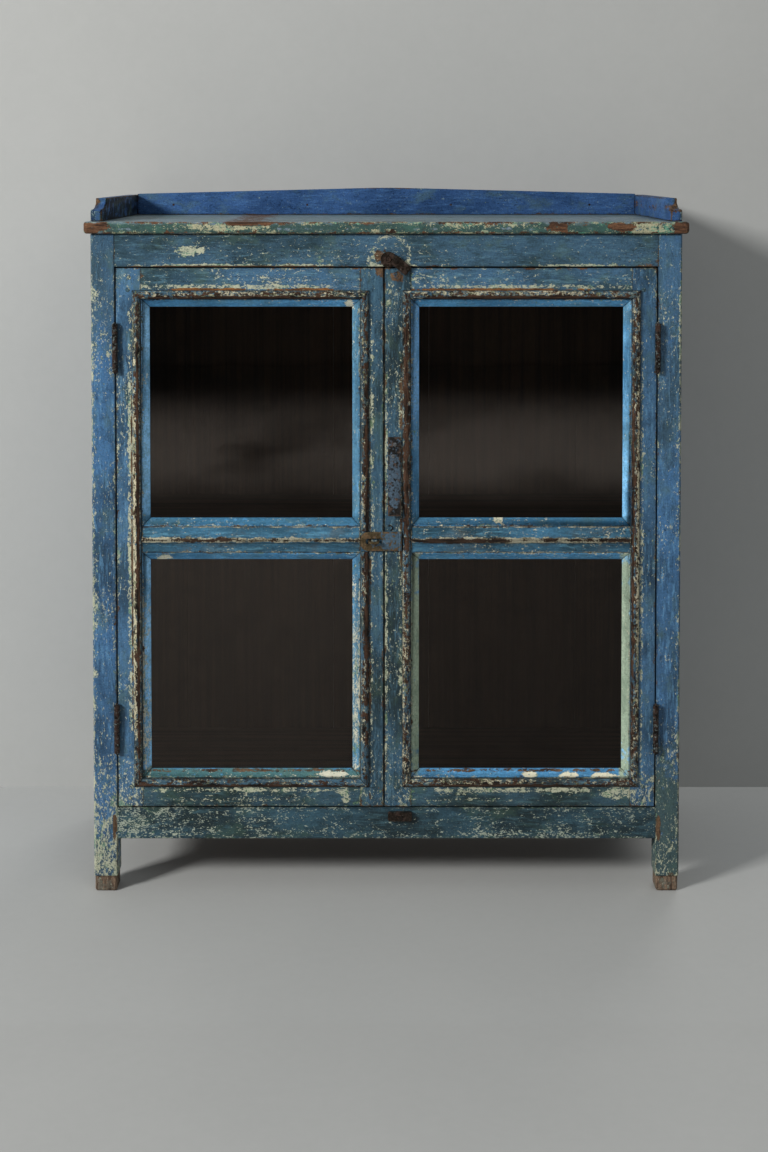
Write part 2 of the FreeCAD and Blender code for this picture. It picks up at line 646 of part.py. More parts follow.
def door_body(label, hand, across="0", rise="0", forward="0"):
    """A body placed from the door's outer lower front corner."""
    return new_body(label, x=f"{hand.hinge_edge} + {hand.across(across)}",
                    y=f"{FRONT} - ({forward})", z=f"{DOOR_BOTTOM} + {rise}")


def cut_door_mortises(body, hand, face, depth_sign):
    """Mortises for the tenons of the top, middle and bottom rail."""
    rows = [
        ("door_shoulder", "door_bottom_rail - door_shoulder"),
        ("mid_rail_rise + door_shoulder", f"{MID_TOP} - door_shoulder"),
        (f"{DOOR_HEIGHT} - door_top_rail + door_shoulder", f"{DOOR_HEIGHT} - door_shoulder"),
    ]
    slots = [
        rectangle("door_tenon_setback - tenon_play", "door_tenon_setback + door_tenon_thickness + tenon_play",
                  f"{low} - tenon_play", f"{high} + tenon_play")
        for low, high in rows
    ]
    add_pocket(body, "YZ", face, slots, "door_tenon + mortise_relief", toward=depth_sign)


def make_stile(label, hand, width, across, towards_panes):
    """A stile of a door: rebated on its front inner edge, with a lip behind the glass."""
    body = door_body(label, hand, across=across)
    sign = hand.inward * towards_panes
    outer = "0" if towards_panes > 0 else width
    inner = width if towards_panes > 0 else "0"
    lip = f"{inner} + {towards_panes} * lip_width"
    outline = [
        (hand.across(outer), "0"),
        (hand.across(inner), "0"),
        (hand.across(inner), REBATE),
        (hand.across(lip), REBATE),
        (hand.across(lip), "door_thickness"),
        (hand.across(outer), "door_thickness"),
    ]
    add_pad(body, "XY", "0", [outline], DOOR_HEIGHT)
    cut_door_mortises(body, hand, hand.across(inner), -sign)
    return body


def make_hinge_stile(hand):
    """The stile that carries the hinges, with a shallow recess for each leaf."""
    body = make_stile(f"{hand.name}_hinge_stile", hand, "hinge_stile", "0", 1)
    recesses = [
        rectangle("0", "leaf_width + board_play",
                  f"{rise} - hinge_height / 2 - tenon_play", f"{rise} + hinge_height / 2 + tenon_play")
        for rise in HINGE_RISES
    ]
    add_pocket(body, "YZ", "0", recesses, LEAF_RECESS, toward=hand.inward)
    return keep(body)


def make_meeting_stile(hand):
    """The stile where the doors meet, with its front edge rounded."""
    width = hand.meeting_stile
    body = make_stile(f"{hand.name}_meeting_stile", hand, width, f"{hand.door_width} - {width}", -1)
    edge = hand.across(width)
    if hand is LEFT:
        cut_for_staple(body, f"{width} - ({STAPLE_FROM_EDGE})", HASP_RISE)
    ease_edges(body, "Fillet", "meeting_round", lambda e: runs_along(e, "Z") and lies_at(e, x=edge, y="0"))
    return keep(body)


STAPLE_FROM_EDGE = "staple_reach - hasp_pin_offset - meeting_gap"


def cut_for_staple(body, middle, height):
    """A square hole for each leg of the staple, from the door's face."""
    reach = "(staple_bar / 2 + staple_play)"
    legs = []
    for side in (-1, 1):
        leg = f"({middle} + {side} * (staple_width - staple_bar) / 2)"
        legs.append(rectangle(f"{leg} - {reach}", f"{leg} + {reach}", f"{height} - {reach}", f"{height} + {reach}"))
    add_pocket(body, "XZ", "0", legs, "staple_root + mortise_relief", toward=1)


def make_door_rail(label, hand, low, height, lips):
    """A rail of a door: tenoned at both ends, with a lip behind the glass below or above it."""
    body = door_body(label, hand, across="hinge_stile", rise=low)
    below, above = lips
    outline = [("0", "0"), ("0", height)]
    outline += [(REBATE, height), (REBATE, f"{height} + lip_width")] if above else []
    outline += [("door_thickness", f"{height} + {'lip_width' if above else '0'}")]
    outline += [("door_thickness", f"0 - {'lip_width' if below else '0'}")]
    outline += [(REBATE, "-lip_width"), (REBATE, "0")] if below else []
    add_pad(body, "YZ", "0", [outline], hand.bay, toward=hand.inward)
    ends = [
        rectangle(hand.across(left), hand.across(right), "0 - 2 * lip_width", f"{height} + 2 * lip_width")
        for left, right in (("-1", "lip_width"), (f"{hand.bay} - lip_width", f"{hand.bay} + 1"))
    ]
    add_pocket(body, "XZ", "door_thickness", ends, f"door_thickness - {REBATE}", toward=-1)
    tenon = rectangle("door_tenon_setback", "door_tenon_setback + door_tenon_thickness",
                      "door_shoulder", f"{height} - door_shoulder")
    add_pad(body, "YZ", hand.across("-door_tenon"), [tenon], f"{hand.bay} + 2 * door_tenon", toward=hand.inward)
    return body


def make_door_rails(hand):
    """The three rails of a door. The middle one carries a half round along its face."""
    keep(make_door_rail(f"{hand.name}_door_bottom_rail", hand, "0", "door_bottom_rail", (False, True)))
    middle = make_door_rail(f"{hand.name}_door_mid_rail", hand, "mid_rail_rise", "door_mid_rail", (True, True))
    radius = "(astragal_width ^ 2 / 4 + astragal_height ^ 2) / (2 * astragal_height)"
    low = "door_mid_rail / 2 - astragal_width / 2"
    high = "door_mid_rail / 2 + astragal_width / 2"
    add_pad(middle, "YZ", "0", [[("0", low), ("0", high, radius, 1)]], hand.bay, toward=hand.inward)
    if hand is LEFT:
        from_stile = f"{hand.door_width} - hinge_stile - ({STAPLE_FROM_EDGE})"
        cut_for_staple(middle, from_stile, "hasp_lift")
    keep(middle)
    low = f"{DOOR_HEIGHT} - door_top_rail"
    keep(make_door_rail(f"{hand.name}_door_top_rail", hand, low, "door_top_rail", (True, False)))


def mitred_strip(label, corner, turn, length, width, profile):
    """A strip of a frame, seen from the front: its outer edge at the bottom, both ends mitred."""
    body = new_body(label, x=corner[0], y=FRONT, z=corner[1], turn=turn)
    add_pad(body, "YZ", "0", [profile], length)
    beyond = f"({width} + {MITRE_OVERRUN})"
    near = [(f"-{MITRE_OVERRUN}", f"-{MITRE_OVERRUN}"), (beyond, beyond), (f"-{MITRE_OVERRUN}", beyond)]
    far = [(f"{length} - ({x})", z) for x, z in near]
    add_pocket(body, "XZ", "door_thickness", [near, far], "2 * door_thickness", toward=-1)
    return body


def mitred_frame(label, hand, low, high, spread, width, profile):
    """Four strips round an opening between the stiles, each set out beyond it by spread."""
    left, right = ("hinge_stile", hand.meeting_stile) if hand is LEFT else (hand.meeting_stile, "hinge_stile")
    start = hand.hinge_edge if hand is LEFT else "meeting_line + meeting_gap / 2"
    x_low = f"({start} + {left} - {spread})"
    x_high = f"({start} + {hand.door_width} - {right} + {spread})"
    z_low = f"({DOOR_BOTTOM} + {low} - {spread})"
    z_high = f"({DOOR_BOTTOM} + {high} + {spread})"
    across = f"({x_high} - {x_low})"
    upright = f"({z_high} - {z_low})"
    sides = [
        ("bottom", (x_low, z_low), "0", across),
        ("right", (x_high, z_low), "-90", upright),
        ("top", (x_high, z_high), "180", across),
        ("left", (x_low, z_high), "90", upright),
    ]
    strips = [
        mitred_strip(f"{label}_{name}", corner, turn, length, width, profile)
        for name, corner, turn, length in sides
    ]
    return keep(group(label, strips))


def make_moulding(hand):
    """A half round moulding in four mitred lengths round a door's panes, cut away under the hasp."""
    crown = "(moulding_height - moulding_edge)"
    radius = f"(moulding_width ^ 2 / 4 + {crown} ^ 2) / (2 * {crown})"
    profile = [
        ("0", "0"),
        ("-moulding_edge", "0", radius, -1),
        ("-moulding_edge", "moulding_width"),
        ("0", "moulding_width"),
    ]
    frame = mitred_frame(f"{hand.name}_door_moulding", hand, "door_bottom_rail",
                         f"({DOOR_HEIGHT} - door_top_rail)", "moulding_width", "moulding_width", profile)
    if hand is LEFT:
        middle = f"({HASP_RISE} - door_bottom_rail + moulding_width)"
        reach = "(hasp_height / 2 + hasp_relief)"
        room = rectangle(f"{middle} - {reach}", f"{middle} + {reach}", "-1", "moulding_width + 1")
        add_pocket(frame.Links[1], "XZ", "door_thickness", [room], "2 * door_thickness", toward=-1)


def make_glazing(hand):
    """Two panes, each against the lips behind it, with a splayed bead in four mitred lengths."""
    panes = [
        ("lower", "door_bottom_rail", "mid_rail_rise"),
        ("upper", MID_TOP, f"({DOOR_HEIGHT} - door_top_rail)"),
    ]
    profile = [
        ("bead_setback", "0"),
        ("bead_setback", "bead_flat"),
        (f"{GLASS_FRONT} - bead_edge", "bead_width"),
        (GLASS_FRONT, "bead_width"),
        (GLASS_FRONT, "0"),
    ]
    for name, low, high in panes:
        glass = door_body(f"{hand.name}_{name}_glass", hand, across="hinge_stile + glass_edge_gap",
                          rise=f"{low} + glass_edge_gap", forward=f"-{GLASS_FRONT}")
        pane = rectangle("0", hand.across(f"{hand.bay} - 2 * glass_edge_gap"),
                         "0", f"{high} - {low} - 2 * glass_edge_gap")
        add_pad(glass, "XZ", "0", [pane], "glass_thickness", toward=1)
        keep(glass)
        mitred_frame(f"{hand.name}_{name}_bead", hand, low, high, "0", "bead_width", profile)


def make_leaf(label, hand, rise, knuckles, side, bore_play):
    """A hinge leaf: a flat plate whose front edge is combed into knuckles round the pin."""
    body = new_body(label, x=hand.axis, y=f"{FRONT} - {BARREL}", z=f"{DOOR_BOTTOM} + {rise} - hinge_height / 2")
    share = "(hinge_height / 5)"
    spans = [
        (f"({k} * {share} + {'knuckle_play / 2' if k else '0'})",
         f"({k + 1} * {share} - {'knuckle_play / 2' if k < 4 else '0'})")
        for k in knuckles
    ]
    sign = side * hand.inward
    near = f"{sign} * leaf_play / 2"
    plate = rectangle(BARREL, f"{BARREL} + leaf_width", "0", "hinge_height")
    add_pad(body, "YZ", near, [plate], "leaf_thickness", toward=sign)
    tongues = [rectangle("0", f"{BARREL} + leaf_thickness", low, high) for low, high in spans]
    add_pad(body, "YZ", near, tongues, "leaf_thickness", toward=sign)
    for low, high in spans:
        add_pad(body, "XY", low, [("0", "0", "barrel_radius")], f"{high} - {low}")
    add_pocket(body, "XY", "hinge_height", [("0", "0", f"hinge_pin_radius + {bore_play}")], "hinge_height")
    return body


def make_pin(label, hand, rise):
    """A hinge pin whose ends stand out of the barrel."""
    body = new_body(label, x=hand.axis, y=f"{FRONT} - {BARREL}",
                    z=f"{DOOR_BOTTOM} + {rise} - hinge_height / 2 - hinge_pin_tip")
    add_pad(body, "XY", "0", [("0", "0", "hinge_pin_radius")], "hinge_height + 2 * hinge_pin_tip")
    return body


def turn_round(body, plane, outline, axis):
    """A full turn of an outline about one axis of its sketch."""
    turned = body.newObject("PartDesign::Revolution", f"{body.Name}_turned")
    sketch = new_sketch(body, plane, "0", [outline])
    turned.Profile = sketch
    turned.ReferenceAxis = (sketch, [axis])
    turned.Angle = 360
    body.Tip = turned
    doc.recompute()
    return body


def make_hinges(hand):
    """Two butt hinges: post leaves with three knuckles, door leaves with two, and their pins."""
    places = list(zip(("lower", "upper"), HINGE_RISES))
    name = hand.name
    keep(group(f"{name}_post_leaves",
               [make_leaf(f"{name}_{p}_post_leaf", hand, rise, [0, 2, 4], -1, "pin_tight") for p, rise in places]))
    keep(group(f"{name}_door_leaves",
               [make_leaf(f"{name}_{p}_door_leaf", hand, rise, [1, 3], 1, "pin_running") for p, rise in places]))
    keep(group(f"{name}_hinge_pins", [make_pin(f"{name}_{p}_pin", hand, rise) for p, rise in places]))


def make_door(hand):
    """A door: its frame, then moulding, glass and beads, then hinges."""
    make_hinge_stile(hand)
    make_meeting_stile(hand)
    make_door_rails(hand)
    make_moulding(hand)
    make_glazing(hand)
    make_hinges(hand)


HASP_X = "meeting_line + meeting_gap / 2 + hasp_pin_offset"


def hasp_body(label):
    """A body whose origin is the hasp's pin, at mid height."""
    return new_body(label, x=HASP_X, y=f"{FRONT} - hasp_pin_standoff", z=f"{DOOR_BOTTOM} + {HASP_RISE}")


def make_hasp_plate():
    """The fixed plate: a leaf on the right door with a knuckle at top and bottom, and its pin."""
    body = hasp_body("hasp_plate")
    half = "hasp_height / 2"
    inner = "(hasp_middle_knuckle / 2 + knuckle_play / 2)"
    back = "hasp_pin_standoff"
    leaf = [("-hasp_plate_width", f"-{half}"), ("0", f"-{half}"), ("0", f"-{inner}"),
            ("-hasp_knuckle_radius - knuckle_play", f"-{inner}"), ("-hasp_knuckle_radius - knuckle_play", inner),
            ("0", inner), ("0", half), ("-hasp_plate_width", half)]
    add_pad(body, "XZ", back, [leaf], "hasp_plate_thickness", toward=-1)
    for low in (f"-{half}", inner):
        add_pad(body, "XY", low, [("0", "0", "hasp_knuckle_radius")], f"{half} - {inner}")
    add_pad(body, "XY", f"-{half}", [("0", "0", "hasp_pin_radius")], "hasp_height")
    return keep(body)


def make_hasp_strap():
    """The strap: a plate with a round end, a slot for the staple and one knuckle on the pin."""
    body = hasp_body("hasp_strap")
    half = "hasp_height / 2"
    knuckle = "hasp_middle_knuckle / 2"
    back = f"(hasp_pin_standoff - {HASP_FRONT})"
    clear = "-(hasp_knuckle_radius + knuckle_play)"
    outline = [("-hasp_reach", f"-{half}"), (clear, f"-{half}"), (clear, f"-{knuckle}"), ("0", f"-{knuckle}"),
               ("0", knuckle), (clear, knuckle), (clear, half), ("-hasp_reach", half)]
    add_pad(body, "XZ", back, [outline], "hasp_thickness", toward=-1)
    ease_edges(body, "Fillet", "hasp_end_round",
               lambda e: runs_along(e, "Y") and abs(e.BoundBox.XMin + number("hasp_reach")) < NEAR)
    add_pad(body, "XY", f"-{knuckle}", [("0", "0", "hasp_knuckle_radius")], "hasp_middle_knuckle")
    add_pocket(body, "XY", knuckle, [("0", "0", "hasp_pin_radius + pin_running")], "hasp_middle_knuckle")
    slot = rectangle("-staple_reach - slot_length / 2", "-staple_reach + slot_length / 2",
                     "-slot_height / 2", "slot_height / 2")
    add_pocket(body, "XZ", back, [slot], "hasp_thickness", toward=-1)
    ends = [number("-staple_reach - slot_length / 2"), number("-staple_reach + slot_length / 2")]
    ease_edges(body, "Fillet", "slot_round",
               lambda e: runs_along(e, "Y") and abs(e.BoundBox.ZMin) < number("slot_height")
               and min(abs(e.BoundBox.XMin - x) for x in ends) < NEAR)
    return keep(body)


def make_staple():
    """A square bar bent to a U, with both legs driven into the left door's meeting stile."""
    body = new_body("hasp_staple", x=f"{HASP_X} - staple_reach", y=FRONT, z=f"{DOOR_BOTTOM} + {HASP_RISE}")
    out = "staple_width / 2"
    inside = "(staple_width / 2 - staple_bar)"
    crown = "(staple_height - staple_bar)"
    inner_bend = "(staple_bend - staple_bar)"
    outline = [
        (f"-{out}", "staple_root"),
        (f"-{out}", "staple_bend - staple_height", "staple_bend", 1),
        (f"staple_bend - {out}", "-staple_height"),
        (f"{out} - staple_bend", "-staple_height", "staple_bend", 1),
        (out, "staple_bend - staple_height"),
        (out, "staple_root"),
        (inside, "staple_root"),
        (inside, f"{inner_bend} - {crown}", inner_bend, -1),
        (f"{inside} - {inner_bend}", f"-{crown}"),
        (f"{inner_bend} - {inside}", f"-{crown}", inner_bend, -1),
        (f"-{inside}", f"{inner_bend} - {crown}"),
        (f"-{inside}", "staple_root"),
    ]
    add_pad(body, "XY", "-staple_bar / 2", [outline], "staple_bar")
    return keep(body)


def make_pull():
    """A flat bar nailed by its upper end, its lower end bent out for the fingers."""
    edge = "meeting_line + meeting_gap / 2"
    body = new_body("pull_strap", x=f"{edge} + pull_offset", y=FRONT, z=f"{DOOR_BOTTOM} + pull_rise")
    flat = "(pull_height - pull_foot)"
    outline = [
        ("0", "pull_height"),
        ("0", flat),
        ("-pull_lift + pull_thickness", "pull_end"),
        ("-pull_lift + pull_thickness", "0"),
        ("-pull_lift", "0"),
        ("-pull_lift", "pull_end"),
        ("-pull_thickness", flat),
        ("-pull_thickness", "pull_height"),
    ]
    add_pad(body, "YZ", "0", [outline], "pull_width")
    bends = [number(flat), number("pull_end")]
    ease_edges(body, "Fillet", "pull_thickness",
               lambda e: runs_along(e, "X") and min(abs(e.BoundBox.ZMin - z) for z in bends) < NEAR)
    return keep(body)


def make_upper_button():
    """A cranked turn button: a round eye on its screw and an arm that steps forward over the door."""
    body = new_body("upper_turn_button", x="meeting_line + button_offset", y=FRONT,
                    z=f"{OPENING_TOP} + button_rise", turn="arm_turn")
    add_pad(body, "XZ", "-button_gap", [("0", "0", "eye_radius")], "eye_thickness", toward=-1)
    arm = rectangle("arm_start", "arm_length", "arm_offset - arm_width / 2", "arm_offset + arm_width / 2")
    add_pad(body, "XZ", "-arm_step", [arm], "arm_thickness", toward=-1)
    ease_edges(body, "Chamfer", "arm_bevel",
               lambda e: runs_along(e, "Z") and lies_at(e, x="arm_length", y="-arm_step - arm_thickness"))
    bore = [("0", "0", "pivot_radius + pin_running")]
    add_pocket(body, "XZ", "0", bore, "button_gap + eye_thickness + 1", toward=-1)
    return keep(body)


def make_lower_button():
    """A plain block on its screw, turned level so that it leaves the door free."""
    body = new_body("lower_turn_button", x="meeting_line + block_offset", y=FRONT, z=f"{FLOOR} - block_drop")
    block = rectangle("-block_length / 2", "block_length / 2", "-block_height / 2", "block_height / 2")
    add_pad(body, "XZ", "-button_gap", [block], "block_thickness", toward=-1)
    ease_edges(body, "Chamfer", "block_round", lambda e: runs_along(e, "Y"))
    bore = [("0", "0", "pivot_radius + pin_running")]
    add_pocket(body, "XZ", "0", bore, "button_gap + block_thickness + 1", toward=-1)
    return keep(body)


def make_pivot(label, x, z, under_head):
    """A screw that a button turns on. Its head stands clear of the button."""
    body = new_body(label, x=x, y=FRONT, z=z)
    front = f"({under_head} + pivot_head_gap)"
    outline = [
        ("0", "pivot_root"),
        ("0", f"-({front} + pivot_head_height)"),
        ("pivot_head_radius", f"-({front} + pivot_head_height)"),
        ("pivot_head_radius", f"-{front}"),
        ("pivot_radius", f"-{front}"),
        ("pivot_radius", "pivot_root"),
    ]
    return turn_round(body, "XY", outline, "V_Axis")


def make_pivots():
    """The two screws, and the holes they need in the front rails."""
    upper = ("meeting_line + button_offset", f"{OPENING_TOP} + button_rise")
    lower = ("meeting_line + block_offset", f"{FLOOR} - block_drop")
    screws = [
        make_pivot("upper_pivot", *upper, "(button_gap + eye_thickness)"),
        make_pivot("lower_pivot", *lower, "(button_gap + block_thickness)"),
    ]
    keep(group("button_pivots", screws))
    holes = [("front_top_rail", upper[0], "button_rise"),
             ("front_bottom_rail", lower[0], "bottom_rail_height - block_drop")]
    for label, x, rise in holes:
        rail = next(node for node in nodes if node.Label == label)
        add_pocket(rail, "XZ", "0", [(x, rise, "pivot_radius + pin_tight")], "pivot_root + mortise_relief", toward=1)


def check_and_write():
    """Every object is sound before anything is written."""
    doc.recompute()
    for item in doc.Objects:
        if "Invalid" in item.State or "Error" in item.State:
            raise RuntimeError(f"{item.Label} failed: {item.State}")
    for node in nodes:
        if node.Shape.isNull() or not node.Shape.isValid():
            raise RuntimeError(f"{node.Label} has no sound shape")
    os.makedirs("parts", exist_ok=True)
    for node in nodes:
        node.Shape.exportStep(f"parts/{node.Label}.step")
    print(len(nodes), "sub-parts written")


fill_sheet()
make_case()
make_door(LEFT)
make_door(RIGHT)
make_staple()
make_hasp_plate()
make_hasp_strap()
make_pull()
make_upper_button()
make_lower_button()
make_pivots()
check_and_write()
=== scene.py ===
"""A painted display cabinet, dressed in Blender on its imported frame. Metres, +Z up, +Y to the back."""

import json
import logging
import math
from dataclasses import dataclass, field, replace
from enum import Enum
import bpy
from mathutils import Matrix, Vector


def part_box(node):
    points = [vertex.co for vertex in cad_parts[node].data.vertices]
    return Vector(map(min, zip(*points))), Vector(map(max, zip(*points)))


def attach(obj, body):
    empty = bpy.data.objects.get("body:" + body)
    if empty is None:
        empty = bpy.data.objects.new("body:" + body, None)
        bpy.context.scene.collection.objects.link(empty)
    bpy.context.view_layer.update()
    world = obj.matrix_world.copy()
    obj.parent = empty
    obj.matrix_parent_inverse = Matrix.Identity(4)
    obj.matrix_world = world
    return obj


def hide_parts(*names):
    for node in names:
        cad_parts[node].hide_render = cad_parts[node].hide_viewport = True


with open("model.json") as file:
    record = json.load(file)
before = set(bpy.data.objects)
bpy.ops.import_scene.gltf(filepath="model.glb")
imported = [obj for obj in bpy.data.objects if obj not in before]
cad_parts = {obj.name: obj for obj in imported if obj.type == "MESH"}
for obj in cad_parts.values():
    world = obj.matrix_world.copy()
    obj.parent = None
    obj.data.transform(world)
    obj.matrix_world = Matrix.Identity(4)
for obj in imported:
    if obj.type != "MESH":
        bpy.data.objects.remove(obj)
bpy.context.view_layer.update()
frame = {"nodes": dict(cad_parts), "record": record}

from types import SimpleNamespace
from typing import Callable, Iterable, Sequence

import bmesh
import bpy
from mathutils import Matrix, Vector

MM = 0.001
SAME_PLACE = 1e-6
NEAR = 0.02 * MM
ENDLESS = 1000.0
SUNK = 0.1 * MM
LOG = logging.getLogger("cabinet")

Piece, Material = bpy.types.Object, bpy.types.Material
Tree, Node, Socket = bpy.types.NodeTree, bpy.types.Node, bpy.types.NodeSocket
Edge = bmesh.types.BMEdge
Colour = tuple[float, float, float, float]
Triple = tuple[float, float, float]

# Places that the sub-assemblies share, read from the frame
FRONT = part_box("front_top_rail")[0][1]
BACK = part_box("rear_left_post")[1][1]
OPENING_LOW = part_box("front_bottom_rail")[1][2]
OPENING_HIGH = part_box("front_top_rail")[0][2]
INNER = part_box("front_right_post")[0][0]


def shade(red: int, green: int, blue: int) -> Colour:
    """A colour written as on screen, 0 to 255, made linear for the shaders.

    Args:
        red, green, blue: the colour as it should look in plain light.

    Returns:
        The same colour in linear light, with full alpha.
    """
    linear = [
        part / 12.92 if part <= 0.04045 else ((part + 0.055) / 1.055) ** 2.4
        for part in (red / 255, green / 255, blue / 255)
    ]
    return (linear[0], linear[1], linear[2], 1.0)


# Near-black for grime and painted shade: edge lines, dark mitre joints and the crease at a moulding's foot
GRIME_AND_SHADE = (0.008, 0.007, 0.006, 1.0)


class Grain(Enum):
    """The way that a board's grain and brush marks run."""

    ACROSS = (0.14, 1.0, 1.0)
    DEEP = (1.0, 0.14, 1.0)
    UPRIGHT = (1.0, 1.0, 0.14)
    NONE = (1.0, 1.0, 1.0)


class Wear(Enum):
    """What a local patch does: lays bare the pale coat or the wood, or lays on a second colour, in places painted
    shade.
    """

    PALE = "pale_patch"
    BARE = "bare_patch"
    ALT = "other_paint"


PALE, BARE, ALT = Wear


class Clear(Enum):
    """When a part of the stage can't be seen."""

    NEVER = "never"
    FROM_BEHIND = "from behind"
    BUT_IN_GLASS = "except as a reflection"


def sum_of(operation: str, swapped: bool = False) -> Callable[["Value", object], "Value"]:
    """A method that makes a sum of a value and another, the other one first where they are swapped."""

    def method(value: "Value", other: object) -> "Value":
        """The sum of the value and the other."""
        first, second = (other, value) if swapped else (value, other)
        return value.graph.sum(operation, first, second)

    return method


class Value:
    """What a socket of a shader tree gives, so that sums of sockets read as plain sums."""

    def __init__(self, graph: "Graph", socket: Socket) -> None:
        """Keeps the socket and the graph that its sums join."""
        self.graph = graph
        self.socket = socket

    __add__, __radd__ = sum_of("ADD"), sum_of("ADD", True)
    __sub__, __rsub__ = sum_of("SUBTRACT"), sum_of("SUBTRACT", True)
    __mul__, __rmul__ = sum_of("MULTIPLY"), sum_of("MULTIPLY", True)
    __truediv__ = sum_of("DIVIDE")
    lesser, greater = sum_of("MINIMUM"), sum_of("MAXIMUM")
    below, above = sum_of("LESS_THAN"), sum_of("GREATER_THAN")

    def __abs__(self) -> "Value":
        """The number without its sign."""
        return self.graph.sum("ABSOLUTE", self)

    def exponential(self) -> "Value":
        """2.718 to the power of the number."""
        return self.graph.sum("POWER", 2.718, self)

    def band(self, low: object, high: object) -> "Value":
        """0 below low and 1 above high, smooth between."""
        return self.graph.value("ShaderNodeMapRange", self, low, high, interpolation_type="SMOOTHSTEP")


class Graph:
    """Short words for building a shader tree."""

    def __init__(self, tree: Tree) -> None:
        """Keeps the tree that nodes are added to."""
        self.tree = tree

    def add(self, kind: str, **settings: object) -> Node:
        """A new node with its settings made."""
        node = self.tree.nodes.new(kind)
        for name, value in settings.items():
            setattr(node, name, value)
        return node

    def feed(self, socket: Socket, value: object) -> None:
        """Links a value to a socket, or gives the socket a plain number, vector or colour."""
        if isinstance(value, Value):
            self.tree.links.new(value.socket, socket)
        else:
            socket.default_value = value

    def value(self, kind: str, *given: object, output: int | str = 0, **settings: object) -> Value:
        """One output of a new node, whose first inputs are fed in order."""
        node = self.add(kind, **settings)
        for socket, value in zip(node.inputs, given):
            self.feed(socket, value)
        return Value(self, node.outputs[output])

    def sum(self, operation: str, first: object, second: object = 0.0, clamp: bool = False) -> Value:
        """One sum of two numbers, or of two vectors where one of them is a vector."""
        kinds = [part.socket.type if isinstance(part, Value) else type(part) for part in (first, second)]
        if "VECTOR" in kinds or tuple in kinds:
            return self.value("ShaderNodeVectorMath", first, second, operation=operation)
        return self.value("ShaderNodeMath", first, second, operation=operation, use_clamp=clamp)

    def split(self, vector: Value) -> list[Value]:
        """The X, Y and Z of a vector."""
        node = self.add("ShaderNodeSeparateXYZ")
        self.feed(node.inputs[0], vector)
        return [Value(self, socket) for socket in node.outputs]

    def noise(self, place: object, scale: object, detail: float = 3.0, rough: float = 0.55) -> Value:
        """Cloudy noise from 0 to 1."""
        node = self.add("ShaderNodeTexNoise")
        for name, value in (("Vector", place), ("Scale", scale), ("Detail", detail), ("Roughness", rough)):
            self.feed(node.inputs[name], value)
        return Value(self, node.outputs[0])

    def mix(self, amount: object, first: object, second: object) -> Value:
        """Two colours mixed."""
        node = self.add("ShaderNodeMix", data_type="RGBA")
        for place, value in ((0, amount), (6, first), (7, second)):
            self.feed(node.inputs[place], value)
        return Value(self, node.outputs[2])

    def brighten(self, colour: object, amount: object) -> Value:
        """A colour made lighter or darker."""
        node = self.add("ShaderNodeHueSaturation")
        self.feed(node.inputs["Value"], amount)
        self.feed(node.inputs["Color"], colour)
        return Value(self, node.outputs[0])

    def group(self, tree: Tree, finish: object, **values: object) -> list[Value]:
        """A node group in use.

        Args:
            tree: the group.
            finish: gives each input that isn't among the values, by its field of the input's name.
            values: the other inputs by name.

        Returns:
            The group's outputs, in order.
        """
        node = self.add("ShaderNodeGroup", node_tree=tree)
        for socket in node.inputs:
            name = socket.name.lower().replace(" ", "_")
            self.feed(socket, values[name] if name in values else getattr(finish, name))
        return [Value(self, socket) for socket in node.outputs]

    def close(self, **results: Value) -> Tree:
        """Feeds a node group's outputs, given by name, and returns the group."""
        sink = self.add("NodeGroupOutput")
        for name, value in results.items():
            self.feed(sink.inputs[name.title()], value)
        return self.tree


def new_group(name: str, inputs: dict[str, str], outputs: dict[str, str]) -> tuple[Graph, SimpleNamespace]:
    """A node group with its sockets.

    Args:
        name: the group's name.
        inputs: the names of the inputs of each kind (Float, Vector or Color).
        outputs: the names of the outputs of each kind.

    Returns:
        The group's graph, and its inputs by name.
    """
    tree = bpy.data.node_groups.new(name, "ShaderNodeTree")
    for way, sockets in (("INPUT", inputs), ("OUTPUT", outputs)):
        for kind, names in sockets.items():
            for label in names.split():
                label = label.replace("_", " ").title()
                tree.interface.new_socket(name=label, in_out=way, socket_type=f"NodeSocket{kind}")
    graph = Graph(tree)
    source = graph.add("NodeGroupInput")
    names = " ".join(inputs.values()).split()
    return graph, SimpleNamespace(**{label: Value(graph, socket) for label, socket in zip(names, source.outputs)})


def to_sides(graph: Graph, given: SimpleNamespace) -> list[Value]:
    """How far a point in a box lies from the nearer side, along each axis."""
    return graph.split((given.position - given.low).lesser(given.high - given.position))


def arris_distance_group() -> Tree:
    """A group that measures how far a point on a box lies from the box's nearest edge."""
    graph, given = new_group("arris_distance", {"Vector": "position low high"}, {"Float": "distance"})
    x, y, z = to_sides(graph, given)
    middle = x.lesser(y).greater(x.greater(y).lesser(z))
    return graph.close(distance=middle.greater(0.0))


def worn_patch_group() -> Tree:
    """A group that fades from 1 at a place to 0 at its ragged rim, through the thickness of the board."""
    graph, given = new_group(
        "worn_patch", {"Vector": "position centre reach", "Float": "hollow ragged"}, {"Float": "mask"})
    away = (given.position - given.centre) / given.reach
    away = graph.value("ShaderNodeVectorMath", away, operation="LENGTH", output="Value")
    rim = away + (graph.noise(given.position, 70.0, 4.0) - 0.5) * given.ragged
    outside = 1.0 - rim.band((given.hollow + 0.06).greater(0.45), 1.05)
    return graph.close(mask=outside * rim.band(given.hollow - 0.20, given.hollow))


